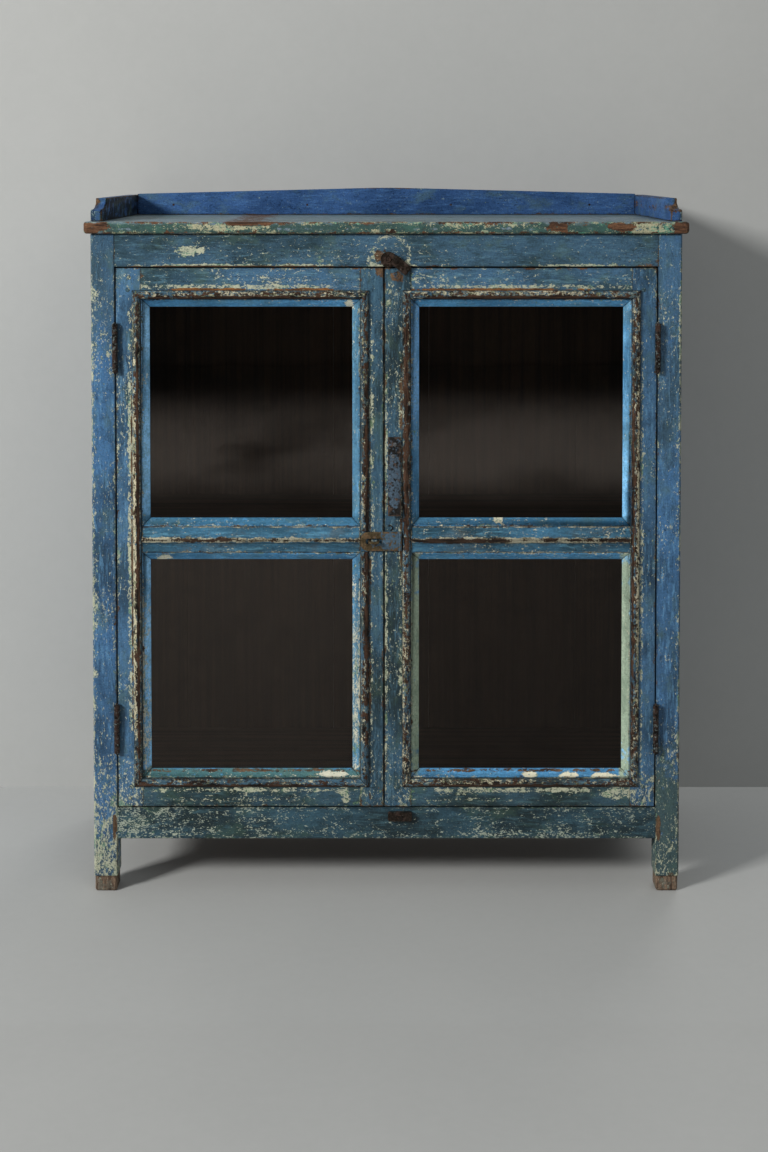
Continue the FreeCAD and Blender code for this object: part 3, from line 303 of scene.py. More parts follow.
def mitred_grain_group() -> Tree:
    """A group that turns the grain with each side of a mitred frame, and marks the mitres."""
    graph, given = new_group(
        "mitred_grain", {"Vector": "position low high"}, {"Vector": "position", "Float": "mitre upright"})
    from_side, _, from_end = to_sides(graph, given)
    gap = from_side - from_end
    upright = gap.below(0.0)
    x, y, z = graph.split(given.position)
    swap = upright * (z - x)
    turned = graph.value("ShaderNodeCombineXYZ", x + swap, y + upright * 3.7, z - swap)
    return graph.close(position=turned, mitre=1.0 - abs(gap).band(0.0002, 0.0012), upright=upright)


def layered_paint_group() -> Tree:
    """Old paint in layers: brushed blue, an older pale coat under it, and bare wood under both."""
    graph, given = new_group("layered_paint", {
        "Vector": "position seed grain",
        "Color": "paint paint_dark paint_light pale pale_two alt wood wood_dark",
        "Float": "edge edge_width mitre chip_scale chips edge_chips bare edge_bare flecks dirt "
                 "pale_patch bare_patch other_paint",
    }, {"Color": "color", "Float": "roughness height"})
    place = given.position + given.seed
    along = place * given.grain
    half_along = place * ((given.grain + (1.0, 1.0, 1.0)) * (0.5, 0.5, 0.5))
    tone = graph.noise(half_along, 11.0, 4.0, 0.6)
    streak = graph.noise(along, 190.0, 5.0, 0.7)
    brush = graph.noise(along, 620.0, 2.0, 0.5)
    mottle = graph.noise(half_along, 46.0, 6.0, 0.72)
    grit = graph.noise(place, 300.0, 5.0, 0.72).band(0.36, 0.64)

    # The top coat: brush marks, thin and thick places, fine cracks along the grain
    coat = graph.mix(tone.band(0.34, 0.60), given.paint_dark, given.paint)
    coat = graph.mix(mottle.band(0.50, 0.66) * 0.65, coat, given.paint_dark)
    coat = graph.mix(streak.band(0.50, 0.66) * 0.62, coat, given.paint_light)
    # A second colour over patches: other paint, and in places painted shade
    coat = graph.mix(given.other_paint, coat, given.alt)
    coat = graph.brighten(coat, 0.58 + (grit * 0.38 + brush * 0.46))
    crack = abs(graph.noise(along, 84.0, 3.0) - 0.5).band(0.0, 0.010)
    coat = graph.brighten(coat, 0.62 + crack * 0.38)

    # Wear comes in clouds and along edges, with dark nicks and a greenish film of dirt
    edge = (given.edge * -1.0 / given.edge_width).exponential()
    cloud = graph.noise(half_along, 15.0, 4.0, 0.6) - 0.5
    film = graph.noise(half_along + (7.7, 2.9, 1.3), 30.0, 6.0, 0.68).band(0.49, 0.66)
    coat = graph.mix(film * 0.34, coat, graph.brighten(given.pale_two, 0.55))
    nick_level = 0.60 - (cloud * 0.30 + edge * 0.05)
    nick = graph.noise(half_along, 300.0, 5.0, 0.68).band(nick_level, nick_level + 0.05)
    coat = graph.brighten(coat, 1.0 - nick * 0.50)

    # Chips down to the pale coat, each with a darker rim: paint worn thin, and painted shade along the step of
    # the paint's edge
    chip_drop = given.chips * 0.24 + edge * given.edge_chips * 0.22 + given.pale_patch * 0.20 + cloud * 0.22
    chip_field = graph.noise(half_along, given.chip_scale, 7.0, 0.70) * 0.80
    chip_field = chip_field + graph.noise(place, 330.0, 2.0) * 0.20
    chip_level = 0.665 - chip_drop
    chip = chip_field.band(chip_level, chip_level + 0.012)
    worn_and_shaded_rim = chip_field.band(chip_level - 0.030, chip_level)
    scratch = graph.noise(half_along, 760.0, 3.0, 0.65).band(0.40, 0.56)

    # Small flecks, close together where the wear is worst
    clustered = cloud * (given.flecks.band(0.0, 0.16) * 0.34)
    fleck_drop = given.flecks * 0.22 + clustered + given.pale_patch * 0.20 + edge * given.edge_chips * 0.10
    fleck_field = graph.noise(half_along, 460.0, 4.0, 0.66) * 0.62
    fleck_field = fleck_field + graph.noise(half_along, 170.0, 3.0, 0.60) * 0.38
    fleck_level = 0.615 - fleck_drop * 0.74
    fleck = fleck_field.band(fleck_level, fleck_level + 0.03)

    # Places worn down to the wood
    bare_field = graph.noise(half_along + (3.1, 1.7, 5.3), given.chip_scale * 0.8, 8.0, 0.72) * 0.72
    bare_field = bare_field + graph.noise(place, 360.0, 3.0, 0.6) * 0.28
    bare_drop = given.bare * 0.24 + cloud * 0.15 + edge * given.edge_bare * 0.28 + given.bare_patch * 0.32
    bare_level = 0.665 - bare_drop
    bare = bare_field.band(bare_level, bare_level + 0.025)

    # The colours of the layers under the top coat
    pale = graph.mix(graph.noise(place, 34.0, 4.0, 0.6).band(0.45, 0.60), given.pale, given.pale_two)
    pale = graph.brighten(pale, 0.38 + graph.noise(place, 380.0, 4.0, 0.7).band(0.30, 0.56) * 0.74)
    wood = graph.mix(streak.band(0.36, 0.60), given.wood_dark, given.wood)
    wood = graph.brighten(wood, 0.42 + (brush * 0.60 + grit * 0.52))

    colour = graph.mix(worn_and_shaded_rim * 0.50, coat, graph.brighten(given.pale_two, 0.42))
    colour = graph.mix(chip * (0.52 + scratch * 0.46), colour, pale)
    colour = graph.mix(fleck * 0.85, colour, given.pale)
    colour = graph.mix(bare, colour, wood)
    # Near-black along the block's edges and in the mitres: grime and dark joints, with painted shade in the
    # creases and gaps there and at a moulding's foot
    grime_and_shade = (given.dirt * (given.edge * -650.0).exponential()).greater(given.mitre)
    colour = graph.mix(grime_and_shade * 0.78, colour, GRIME_AND_SHADE)
    rough = 0.38 + mottle * 0.26 + chip.greater(bare) * 0.22
    height = streak * 0.35 + mottle * 0.45 - chip * 0.40 - bare * 0.55 + crack * 0.20 - given.mitre * 0.8
    return graph.close(color=colour, roughness=rough, height=height)


def aged_wood_group() -> Tree:
    """Bare softwood, dark with age, with growth bands, fine pores and old stains."""
    graph, given = new_group(
        "aged_wood", {"Vector": "position seed grain", "Color": "light dark stain"},
        {"Color": "color", "Float": "roughness height"})
    place = given.position + given.seed
    along = place * given.grain
    rings = graph.noise(along * given.grain, 74.0, 6.0, 0.62)
    pores = graph.noise(along, 520.0, 3.0, 0.6)
    colour = graph.mix(rings.band(0.36, 0.64), given.dark, given.light)
    colour = graph.mix(graph.noise(place, 6.0, 5.0, 0.6).band(0.48, 0.66) * 0.5, colour, given.stain)
    colour = graph.brighten(colour, 0.62 + pores * 0.76)
    return graph.close(color=colour, roughness=0.62 + pores * 0.25, height=rings + pores * 0.7)


def old_iron_group() -> Tree:
    """Iron under rust, with what is left of the paint that went over it."""
    graph, given = new_group("old_iron", {
        "Vector": "position seed", "Color": "metal rust paint", "Float": "rusting painted paint_patch edge",
    }, {"Color": "color", "Float": "roughness metallic height"})
    place = given.position + given.seed
    coarse = graph.noise(place, 90.0, 6.0, 0.65)
    fine = graph.noise(place, 380.0, 5.0, 0.7).band(0.34, 0.66)
    rim = (given.edge * -900.0).exponential()
    rust = (coarse + rim * 0.3).band(0.68 - given.rusting * 0.30, 0.76 - given.rusting * 0.30)
    level = 0.72 - given.painted * 0.36 - given.paint_patch * 0.4 + rim * 0.6
    painted = graph.noise(place + (2.3, 4.1, 0.7), 210.0, 7.0, 0.70).band(level, level + 0.02)
    colour = graph.brighten(graph.mix(rust, given.metal, given.rust), 0.62 + fine * 0.72)
    colour = graph.mix(painted, colour, graph.brighten(given.paint, 0.66 + fine * 0.62))
    dull = rust.greater(painted)
    height = coarse * 0.8 + (fine * 0.35 + painted * 0.25)
    return graph.close(color=colour, roughness=0.42 + dull * 0.34, metallic=(1.0 - dull) * 0.85, height=height)


ARRIS_GROUP = arris_distance_group()
MITRE_GROUP = mitred_grain_group()
PATCH_GROUP = worn_patch_group()
PAINT_GROUP = layered_paint_group()
WOOD_GROUP = aged_wood_group()
IRON_GROUP = old_iron_group()


@dataclass(frozen=True)
class Patch:
    """A spot, seen from the front, where the paint is worn more than round it, or where it takes a second colour,
    in places painted shade.
    """

    wear: Wear
    x: float
    z: float
    wide: float
    tall: float
    strength: float = 1.0
    hollow: float = 0.0
    ragged: float = 1.6

    def mask(self, graph: Graph, place: Value) -> Value:
        """Where the patch lies, times its strength."""
        mask, = graph.group(PATCH_GROUP, self, position=place, centre=(self.x, 0.0, self.z),
                            reach=(self.wide, ENDLESS, self.tall))
        return mask * self.strength


def worn(wear: Wear, *rows: Sequence[float]) -> list[Patch]:
    """Patches of one kind, each given by the rest of its fields in order."""
    return [Patch(wear, *row) for row in rows]


def seed_of(name: str) -> Triple:
    """A shift of the patterns that is a piece's own, from the letters of its name."""
    total = sum((place + 3) * ord(letter) for place, letter in enumerate(name))
    return ((total % 97) * 0.37, (total % 89) * 0.53, (total % 83) * 0.71)


def surface(name: str) -> tuple[Material, Graph, Node, Value]:
    """A new material.

    Args:
        name: the material's name.

    Returns:
        The material, its graph, its Principled BSDF and the object coordinates.
    """
    material = bpy.data.materials.new(name)
    material.use_nodes = True
    graph = Graph(material.node_tree)
    place = graph.value("ShaderNodeTexCoord", output="Object")
    return material, graph, material.node_tree.nodes["Principled BSDF"], place


def dress(graph: Graph, shader: Node, depth: float, height: Value, **inputs: object) -> None:
    """Feeds a shader its relief, whose full step is depth metres, and its other inputs by name."""
    for name, value in inputs.items():
        graph.feed(shader.inputs[name.replace("_", " ")], value)
    bump = graph.add("ShaderNodeBump")
    for name, value in (("Strength", 1.0), ("Distance", depth), ("Height", height)):
        graph.feed(bump.inputs[name], value)
    graph.feed(shader.inputs["Normal"], Value(graph, bump.outputs["Normal"]))


@dataclass(frozen=True)
class WornPaint:
    """Brushed paint on wood, chipped through to older coats and to the wood."""

    paint: Colour = shade(68, 104, 138)
    paint_dark: Colour = shade(44, 70, 96)
    paint_light: Colour = shade(96, 136, 168)
    pale: Colour = shade(182, 184, 160)
    pale_two: Colour = shade(108, 138, 118)
    alt: Colour = shade(150, 168, 150)
    upright: Colour | None = None
    far_upright: Colour | None = None
    wood: Colour = shade(104, 82, 62)
    wood_dark: Colour = shade(50, 38, 31)
    chip_scale: float = 84.0
    chips: float = 0.06
    edge_chips: float = 0.5
    bare: float = 0.10
    edge_bare: float = 0.45
    edge_width: float = 3.0 * MM
    flecks: float = 0.10
    # How dark the block's edges go: grime, with painted shade in the creases and gaps along them
    dirt: float = 0.6
    # Depth of the painted shade, with grime, along a moulding's foot where it meets the frame
    foot_dirt: float = 0.0
    gloss: float = 0.35
    relief: float = 0.5 * MM

    def material(self, name: str, low: Vector, high: Vector, grain: Grain | None, crown: float | None = None,
                 patches: Sequence[Patch] = ()) -> Material:
        """The paint on one piece.

        Args:
            name: the piece's name.
            low, high: corners of the block whose edges are worn, or of a mitred frame.
            grain: the way the piece's grain runs, or None for a mitred frame, where it turns with each side.
            crown: the Y of a worn crown that stands in front of the block, if it has one.
            patches: places of more wear or of a second colour, some of them painted shade.

        Returns:
            The material.
        """
        material, graph, shader, place = surface(f"{name}_paint")
        block = {"position": place, "low": tuple(low), "high": tuple(high)}
        x, y, _ = graph.split(place)
        laid, mitre, edge, paint = place, 0.0, 1.0, self.paint
        if grain is None:
            laid, mitre, upright = graph.group(MITRE_GROUP, self, **block)
            # Painted light: the upright sides of a bead take their own colours, lighter or darker than the runs
            # to stand in for how the light falls on them
            if self.upright:
                beyond = x.above((low[0] + high[0]) / 2)
                upright_light_paint = graph.mix(beyond, self.upright, self.far_upright or self.upright)
                paint = graph.mix(upright, self.paint, upright_light_paint)
        else:
            edge, = graph.group(ARRIS_GROUP, self, **block)
        if crown is not None:
            edge = (y - crown).lesser(edge)
        # Painted shade with grime in a narrow band at the moulding's foot, joined to the mitre mask
        if self.foot_dirt:
            mitre = (1.0 - (FRONT - y).band(self.foot_dirt * 0.4, self.foot_dirt)).greater(mitre)
        spots: dict[str, object] = {wear.value: 0.0 for wear in Wear}
        for patch in patches:
            spots[patch.wear.value] = patch.mask(graph, place).greater(spots[patch.wear.value])
        colour, rough, height = graph.group(
            PAINT_GROUP, self, position=laid, seed=seed_of(name), grain=(grain or Grain.ACROSS).value,
            edge=edge, mitre=mitre, paint=paint, **spots)
        dress(graph, shader, self.relief, height, Base_Color=colour, Roughness=rough,
              Specular_IOR_Level=self.gloss)
        return material


@dataclass(frozen=True)
class AgedWood:
    """Unpainted wood that has gone dark."""

    light: Colour
    dark: Colour
    stain: Colour
    relief: float = 0.35 * MM

    def material(self, name: str, grain: Grain) -> Material:
        """The wood of one piece, with its grain running the given way."""
        material, graph, shader, place = surface(f"{name}_wood")
        colour, rough, height = graph.group(WOOD_GROUP, self, position=place, seed=seed_of(name),
                                            grain=grain.value)
        dress(graph, shader, self.relief, height, Base_Color=colour, Roughness=rough, Specular_IOR_Level=0.25)
        return material


@dataclass(frozen=True)
class OldIron:
    """Wrought or cast fittings, rusted and partly painted over."""

    metal: Colour
    rust: Colour
    paint: Colour = shade(70, 96, 118)
    rusting: float = 0.55
    painted: float = 0.0
    relief: float = 0.35 * MM

    def material(self, name: str, patches: Sequence[Patch] = (), block: tuple | None = None) -> Material:
        """The metal of one piece.

        Args:
            name: the piece's name.
            patches: where its paint is still whole, or rubbed off where they are bare.
            block: corners of the block whose edges are rubbed bare, if it is one.

        Returns:
            The material.
        """
        material, graph, shader, place = surface(f"{name}_iron")
        edge, kept = 1.0, 0.0
        if block:
            edge, = graph.group(ARRIS_GROUP, self, position=place, low=tuple(block[0]), high=tuple(block[1]))
        for patch in patches:
            mask = patch.mask(graph, place)
            kept = kept - mask if patch.wear is BARE else kept + mask
        colour, rough, metallic, height = graph.group(
            IRON_GROUP, self, position=place, seed=seed_of(name), edge=edge, paint_patch=kept)
        dress(graph, shader, self.relief, height, Base_Color=colour, Roughness=rough, Metallic=metallic)
        return material


@dataclass(frozen=True)
class OldGlass:
    """Thin window glass, a little uneven, with a film of dust."""

    tint: Colour = (0.86, 0.90, 0.89, 1.0)
    waviness: float = 0.10 * MM

    def material(self, name: str) -> Material:
        """The glass of one pane."""
        material, graph, shader, place = surface(f"{name}_pane")
        shader.inputs["Transmission Weight"].default_value = 1.0
        smear = graph.noise(place + seed_of(name), 16.0, 5.0, 0.6)
        colour = graph.brighten(self.tint, 0.80 + smear * 0.25)
        waves = graph.noise(place, 9.0, 2.0)
        dress(graph, shader, self.waviness, waves, Base_Color=colour, Roughness=0.0, IOR=1.50)
        return material


def clear_selection() -> None:
    """Back to object mode with nothing selected."""
    if bpy.context.object and bpy.context.object.mode != "OBJECT":
        bpy.ops.object.mode_set(mode="OBJECT")
    bpy.ops.object.select_all(action="DESELECT")


def pick(*pieces: Piece) -> None:
    """Selects these pieces alone, the first one active."""
    clear_selection()
    for piece in pieces:
        piece.select_set(True)
    bpy.context.view_layer.objects.active = pieces[0]


def mark(action: str = "SELECT") -> None:
    """Selects all of the open mesh, or with DESELECT nothing."""
    bpy.ops.mesh.select_all(action=action)


def open_mesh(piece: Piece, action: str = "DESELECT") -> None:
    """Edit mode on one piece, with nothing in it selected, or with SELECT everything."""
    pick(piece)
    bpy.ops.object.mode_set(mode="EDIT")
    bpy.ops.mesh.select_mode(type="EDGE")
    mark(action)


def close_mesh() -> None:
    """Back to object mode."""
    bpy.ops.object.mode_set(mode="OBJECT")


def turn_outward() -> None:
    """Turns all faces of the open mesh outward."""
    mark()
    bpy.ops.mesh.normals_make_consistent(inside=False)


def cut_off(place: Triple, facing: Triple, fill: bool = True) -> None:
    """Cuts all of the open mesh at a plane and drops what lies on the side that the plane faces."""
    mark()
    bpy.ops.mesh.bisect(plane_co=place, plane_no=facing, clear_outer=True, use_fill=fill)


def select_edges(piece: Piece, wanted: Callable[[Edge], bool]) -> int:
    """Selects the open mesh's edges that answer to wanted. Returns how many."""
    mesh = bmesh.from_edit_mesh(piece.data)
    chosen = [edge for edge in mesh.edges if wanted(edge)]
    for edge in chosen:
        edge.select_set(True)
    bmesh.update_edit_mesh(piece.data)
    return len(chosen)


def on_lines(lines: Iterable[dict[int, float]]) -> Callable[[Edge], bool]:
    """A test for edges that lie on one of these lines, each given as two axes and their coordinates."""
    kept = list(lines)

    def test(edge: Edge) -> bool:
        """Whether both ends of the edge lie on one of the lines."""
        ends = [vertex.co for vertex in edge.verts]
        return any(all(abs(end[axis] - place) < NEAR for end in ends for axis, place in line.items())
                   for line in kept)

    return test


def box_lines(low: Sequence[float], high: Sequence[float]) -> list[dict[int, float]]:
    """The twelve edges of a box."""
    ends = (low, high)
    return [
        {first: ends[i][first], second: ends[j][second]}
        for first, second in ((0, 1), (0, 2), (1, 2))
        for i in (0, 1)
        for j in (0, 1)
    ]


def bevel_selected(width: float, segments: int = 2) -> None:
    """Rounds the selected edges of the open mesh."""
    bpy.ops.mesh.bevel(offset_type="OFFSET", offset=width, segments=segments, profile=0.5, affect="EDGES",
                       clamp_overlap=False)


def smooth(piece: Piece, degrees: float = 32.0) -> None:
    """Smooth shading except over edges sharper than that."""
    pick(piece)
    bpy.ops.object.shade_smooth_by_angle(angle=math.radians(degrees))


def apply_modifiers(piece: Piece) -> None:
    """Applies every modifier of the piece, in order."""
    pick(piece)
    for modifier in list(piece.modifiers):
        bpy.ops.object.modifier_apply(modifier=modifier.name)


def settle(piece: Piece) -> None:
    """Moves the piece's place, turn and scale into its mesh."""
    pick(piece)
    bpy.ops.object.transform_apply(location=True, rotation=True, scale=True)


def linked(name: str, data: bpy.types.ID) -> Piece:
    """A new object of the scene, which shows the given data."""
    piece = bpy.data.objects.new(name, data)
    bpy.context.scene.collection.objects.link(piece)
    return piece


def just_added(name: str, scale: Sequence[float] = (1.0, 1.0, 1.0)) -> Piece:
    """The primitive that was added last, given its name and scale and settled."""
    piece = bpy.context.object
    piece.name = piece.data.name = name
    piece.scale = scale
    settle(piece)
    return piece


def disc(name: str, vertices: int, radius: float, place: Sequence[float]) -> Piece:
    """A round face that looks along X, from which a bar can be drawn out."""
    bpy.ops.mesh.primitive_circle_add(vertices=vertices, radius=radius, fill_type="NGON", location=place,
                                      rotation=(0.0, math.pi / 2, 0.0))
    return just_added(name)


def corners(node: str) -> tuple[Vector, Vector]:
    """The lower and upper corner of a node's box."""
    low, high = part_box(node)
    return Vector(low), Vector(high)


def whole_copy(node: str, name: str) -> Piece:
    """A copy of a node of the frame, its triangles merged into whole faces."""
    piece = linked(name, frame["nodes"][node].data.copy())
    piece.data.name = name
    open_mesh(piece, "SELECT")
    bpy.ops.mesh.remove_doubles(threshold=SAME_PLACE)
    bpy.ops.mesh.dissolve_limited(angle_limit=math.radians(0.6))
    close_mesh()
    return piece


def eased_copy(node: str, lines: Sequence[dict[int, float]], width: float, segments: int = 2) -> Piece:
    """A copy of a node with the arrises on these lines rounded."""
    piece = whole_copy(node, f"{node}_worn")
    open_mesh(piece)
    if select_edges(piece, on_lines(lines)):
        bevel_selected(width, segments)
    close_mesh()
    smooth(piece)
    return piece


def softened_copy(node: str, width: float, degrees: float = 34.0, segments: int = 2) -> Piece:
    """A copy of a node with all its sharp edges rounded a little."""
    piece = whole_copy(node, f"{node}_worn")
    easing = piece.modifiers.new("easing", "BEVEL")
    easing.limit_method = "ANGLE"
    easing.angle_limit = math.radians(degrees)
    easing.width = width
    easing.segments = segments
    apply_modifiers(piece)
    smooth(piece)
    return piece


def joined(name: str, pieces: Sequence[Piece]) -> Piece:
    """Several pieces made one object."""
    pick(*pieces)
    if len(pieces) > 1:
        bpy.ops.object.join()
    pieces[0].name = name
    pieces[0].data.name = name
    return pieces[0]


def give(piece: Piece, material: Material) -> None:
    """The piece's one material."""
    piece.data.materials.clear()
    piece.data.materials.append(material)


def give_node(node: str, material: Material) -> None:
    """A node of the frame keeps its shape and gets this finish."""
    for slot in frame["nodes"][node].material_slots:
        slot.material = material
    LOG.info("%s: node of the frame, finish %s", node, material.name)


def stand_in(piece: Piece, node: str, material: Material) -> None:
    """The piece takes a node's place on that node's body, with the given material, and the node is hidden."""
    bodies = frame["record"]["behaviour"]["bodies"]
    give(piece, material)
    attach(piece, next(body for body, members in bodies.items() if node in members))
    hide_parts(node)
    LOG.info("%s: stands for %s, %d faces", piece.name, node, len(piece.data.polygons))


def add_to(piece: Piece, body: str, material: Material) -> None:
    """A piece of its own rides on a body."""
    give(piece, material)
    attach(piece, body)
    LOG.info("%s: rides on %s, %d faces", piece.name, body, len(piece.data.polygons))


def turned_head(name: str, place: Triple, radius: float, height: float, facing: Triple) -> Piece:
    """A low domed head, such as a nail's, whose flat side lies at a place.

    Args:
        name: the piece's name.
        place: the middle of its flat side.
        radius: its radius.
        height: how far it stands out.
        facing: the way that it faces.

    Returns:
        The head.
    """
    turn = Vector((0.0, 0.0, 1.0)).rotation_difference(Vector(facing)).to_euler()
    bpy.ops.mesh.primitive_cylinder_add(vertices=14, radius=radius, depth=height, location=(0.0, 0.0, height / 2))
    piece = just_added(name)
    open_mesh(piece)
    select_edges(piece, on_lines([{2: height}]))
    bevel_selected(min(height * 0.85, radius * 0.45), 2)
    close_mesh()
    piece.rotation_euler = turn
    piece.location = place
    settle(piece)
    smooth(piece, 50.0)
    return piece


def press_dents(piece: Piece, size: float, depth: float, degrees: float) -> None:
    """Shallow dents pressed into a piece and never out of it, shaded smooth up to an angle."""
    cloud = bpy.data.textures.new(f"{piece.name}_dents", "CLOUDS")
    cloud.noise_scale = size
    dents = piece.modifiers.new("dents", "DISPLACE")
    dents.texture = cloud
    dents.texture_coords = "LOCAL"
    dents.mid_level = 0.0
    dents.strength = -depth
    apply_modifiers(piece)
    smooth(piece, degrees)


def row_of_heads(name: str, places: Sequence[Triple], radius: float, height: float,
                 facing: Triple = (0.0, -1.0, 0.0)) -> Piece:
    """The same head at several places, as one piece."""
    first = turned_head(name, places[0], radius, height, facing)
    heads = [first]
    for number, place in enumerate(places[1:], start=1):
        mesh = first.data.copy()
        mesh.transform(Matrix.Translation(Vector(place) - Vector(places[0])))
        heads.append(linked(f"{name}_{number}", mesh))
    return joined(name, heads)


# alt darkens the lower ends of three posts and the front left post's top, and on the front right post's upper
# part it is painted shade
POST_PAINT = WornPaint(paint=shade(66, 106, 146), paint_dark=shade(44, 70, 94),
                       paint_light=shade(94, 140, 176), alt=shade(60, 80, 84), chips=0.12, edge_chips=0.48,
                       edge_bare=0.40, flecks=0.13)
RAIL_PAINT = WornPaint(paint=shade(62, 92, 114), paint_dark=shade(40, 60, 68),
                       paint_light=shade(82, 116, 134), flecks=0.07)
LOW_RAIL_PAINT = WornPaint(paint=shade(50, 78, 92), paint_dark=shade(30, 44, 48),
                           paint_light=shade(66, 96, 106), pale=shade(162, 170, 154),
                           pale_two=shade(88, 118, 96), chips=0.04, bare=0.04, edge_bare=0.3, flecks=0.26)
SIDE_PAINT = WornPaint(paint=shade(64, 104, 144), paint_dark=shade(46, 74, 98), chips=0.18, edge_chips=0.45,
                       flecks=0.16)
DOOR_PAINT = WornPaint(paint=shade(66, 102, 134), paint_dark=shade(42, 66, 86),
                       paint_light=shade(92, 134, 164), chips=0.08, edge_bare=0.5, flecks=0.12)
MEETING_PAINT = WornPaint(paint=shade(56, 86, 106), paint_dark=shade(36, 52, 58),
                          paint_light=shade(82, 116, 134), pale_two=shade(96, 120, 92), chips=0.08,
                          edge_bare=0.6, flecks=0.13)
LOW_DOOR_PAINT = WornPaint(paint=shade(54, 80, 94), paint_dark=shade(32, 48, 50),
                           paint_light=shade(76, 106, 112), pale_two=shade(96, 128, 100), flecks=0.14)
DOOR_RAIL_PAINT = WornPaint(paint=shade(66, 100, 128), paint_dark=shade(44, 66, 76), flecks=0.14,
                            paint_light=shade(92, 130, 148), wood=shade(136, 92, 54),
                            wood_dark=shade(66, 44, 32))
MID_RAIL_PAINT = WornPaint(paint=shade(60, 106, 134), paint_dark=shade(36, 66, 80),
                           paint_light=shade(92, 144, 168), pale=shade(190, 186, 162),
                           pale_two=shade(120, 112, 88), wood=shade(74, 56, 44), wood_dark=shade(26, 21, 18),
                           edge_chips=1.25, bare=0.06, edge_bare=0.66, edge_width=1.8 * MM)
MOULDING_PAINT = WornPaint(paint=shade(62, 94, 114), paint_dark=shade(38, 50, 54),
                           paint_light=shade(104, 132, 138), pale=shade(196, 188, 160),
                           pale_two=shade(120, 124, 92), wood=shade(76, 55, 42), wood_dark=shade(20, 16, 14),
                           chip_scale=200.0, chips=0.38, edge_chips=0.10, bare=0.48, edge_bare=0.22,
                           edge_width=2.4 * MM, flecks=0.30, dirt=0.0, foot_dirt=3.2 * MM, relief=0.9 * MM)
# Bead colours: upright and far_upright are painted light, lighter or darker on the upright sides for how the
# light falls; the left beads' alt is painted shade on bottom runs that face up, the right beads' alt their pale
# sage paint
LEFT_BEAD_PAINT = WornPaint(paint=shade(76, 138, 184), paint_dark=shade(62, 114, 152), chip_scale=110.0,
                            paint_light=shade(108, 168, 208), upright=shade(150, 210, 255), chips=0.10,
                            far_upright=shade(84, 128, 152), alt=shade(72, 112, 116),
                            pale=shade(206, 204, 184), edge_chips=0.40, bare=0.05, edge_bare=0.34,
                            edge_width=1.2 * MM, flecks=0.08, dirt=0.0)
RIGHT_BEAD_PAINT = replace(LEFT_BEAD_PAINT, paint=shade(76, 138, 182), paint_light=shade(110, 168, 208),
                           upright=shade(118, 176, 228), far_upright=shade(142, 210, 255),
                           pale=shade(222, 216, 190), alt=shade(160, 178, 156))
# Painted shade for the upper beads' bottom runs, which face up
UPPER_BEAD_SHADE = shade(54, 100, 126)
TOP_PAINT = WornPaint(paint=shade(112, 131, 146), paint_dark=shade(90, 106, 112),
                      paint_light=shade(130, 147, 160), pale=shade(176, 172, 142),
                      pale_two=shade(92, 150, 128), alt=shade(52, 78, 74), wood=shade(106, 76, 56),
                      wood_dark=shade(50, 35, 28), chip_scale=92.0, chips=0.04, edge_chips=0.95, bare=0.06,
                      edge_bare=0.80, edge_width=6.0 * MM, dirt=0.0)
# alt is a painted shadow, near-black on the left board's inner face; it also darkens a patch near the top of each
# side board's outer end
GALLERY_PAINT = WornPaint(paint=shade(56, 88, 134), paint_dark=shade(40, 66, 104),
                          paint_light=shade(70, 106, 152), pale=shade(130, 150, 150), alt=shade(13, 18, 26),
                          chips=0.02, edge_chips=0.25, bare=0.02, edge_bare=0.95, edge_width=2.2 * MM,
                          flecks=0.0, gloss=0.10)
FOOT_WOOD = WornPaint(paint=shade(116, 110, 98), paint_dark=shade(78, 70, 60),
                      paint_light=shade(146, 140, 126), pale=shade(178, 174, 156), wood=shade(126, 106, 88),
                      wood_dark=shade(62, 50, 42), flecks=0.3, chip_scale=130.0, chips=0.30, edge_chips=0.45,
                      bare=0.62, edge_bare=0.6, edge_width=6.0 * MM)
CASE_WOOD = AgedWood(light=shade(102, 75, 59), dark=shade(66, 48, 38), stain=shade(46, 35, 29))
BACK_WOOD = AgedWood(light=shade(94, 69, 55), dark=shade(72, 53, 43), stain=shade(52, 39, 33), relief=0.15 * MM)
HINGE_IRON = OldIron(shade(46, 42, 40), shade(50, 36, 30), shade(92, 100, 98), rusting=0.75, painted=0.46)
HASP_IRON = OldIron(shade(122, 108, 82), shade(94, 74, 52), shade(70, 92, 108), painted=0.20)
PULL_IRON = OldIron(shade(66, 66, 66), shade(76, 60, 50), shade(68, 84, 98), painted=0.78)
BUTTON_IRON = OldIron(shade(62, 54, 48), shade(52, 40, 34), shade(86, 84, 76), rusting=0.60, painted=0.22)
NAIL_IRON = OldIron(shade(56, 50, 46), shade(60, 44, 36), rusting=0.7)
NAIL_TIN = OldIron(shade(150, 156, 160), shade(120, 96, 62), rusting=0.42)
GLASS = OldGlass()


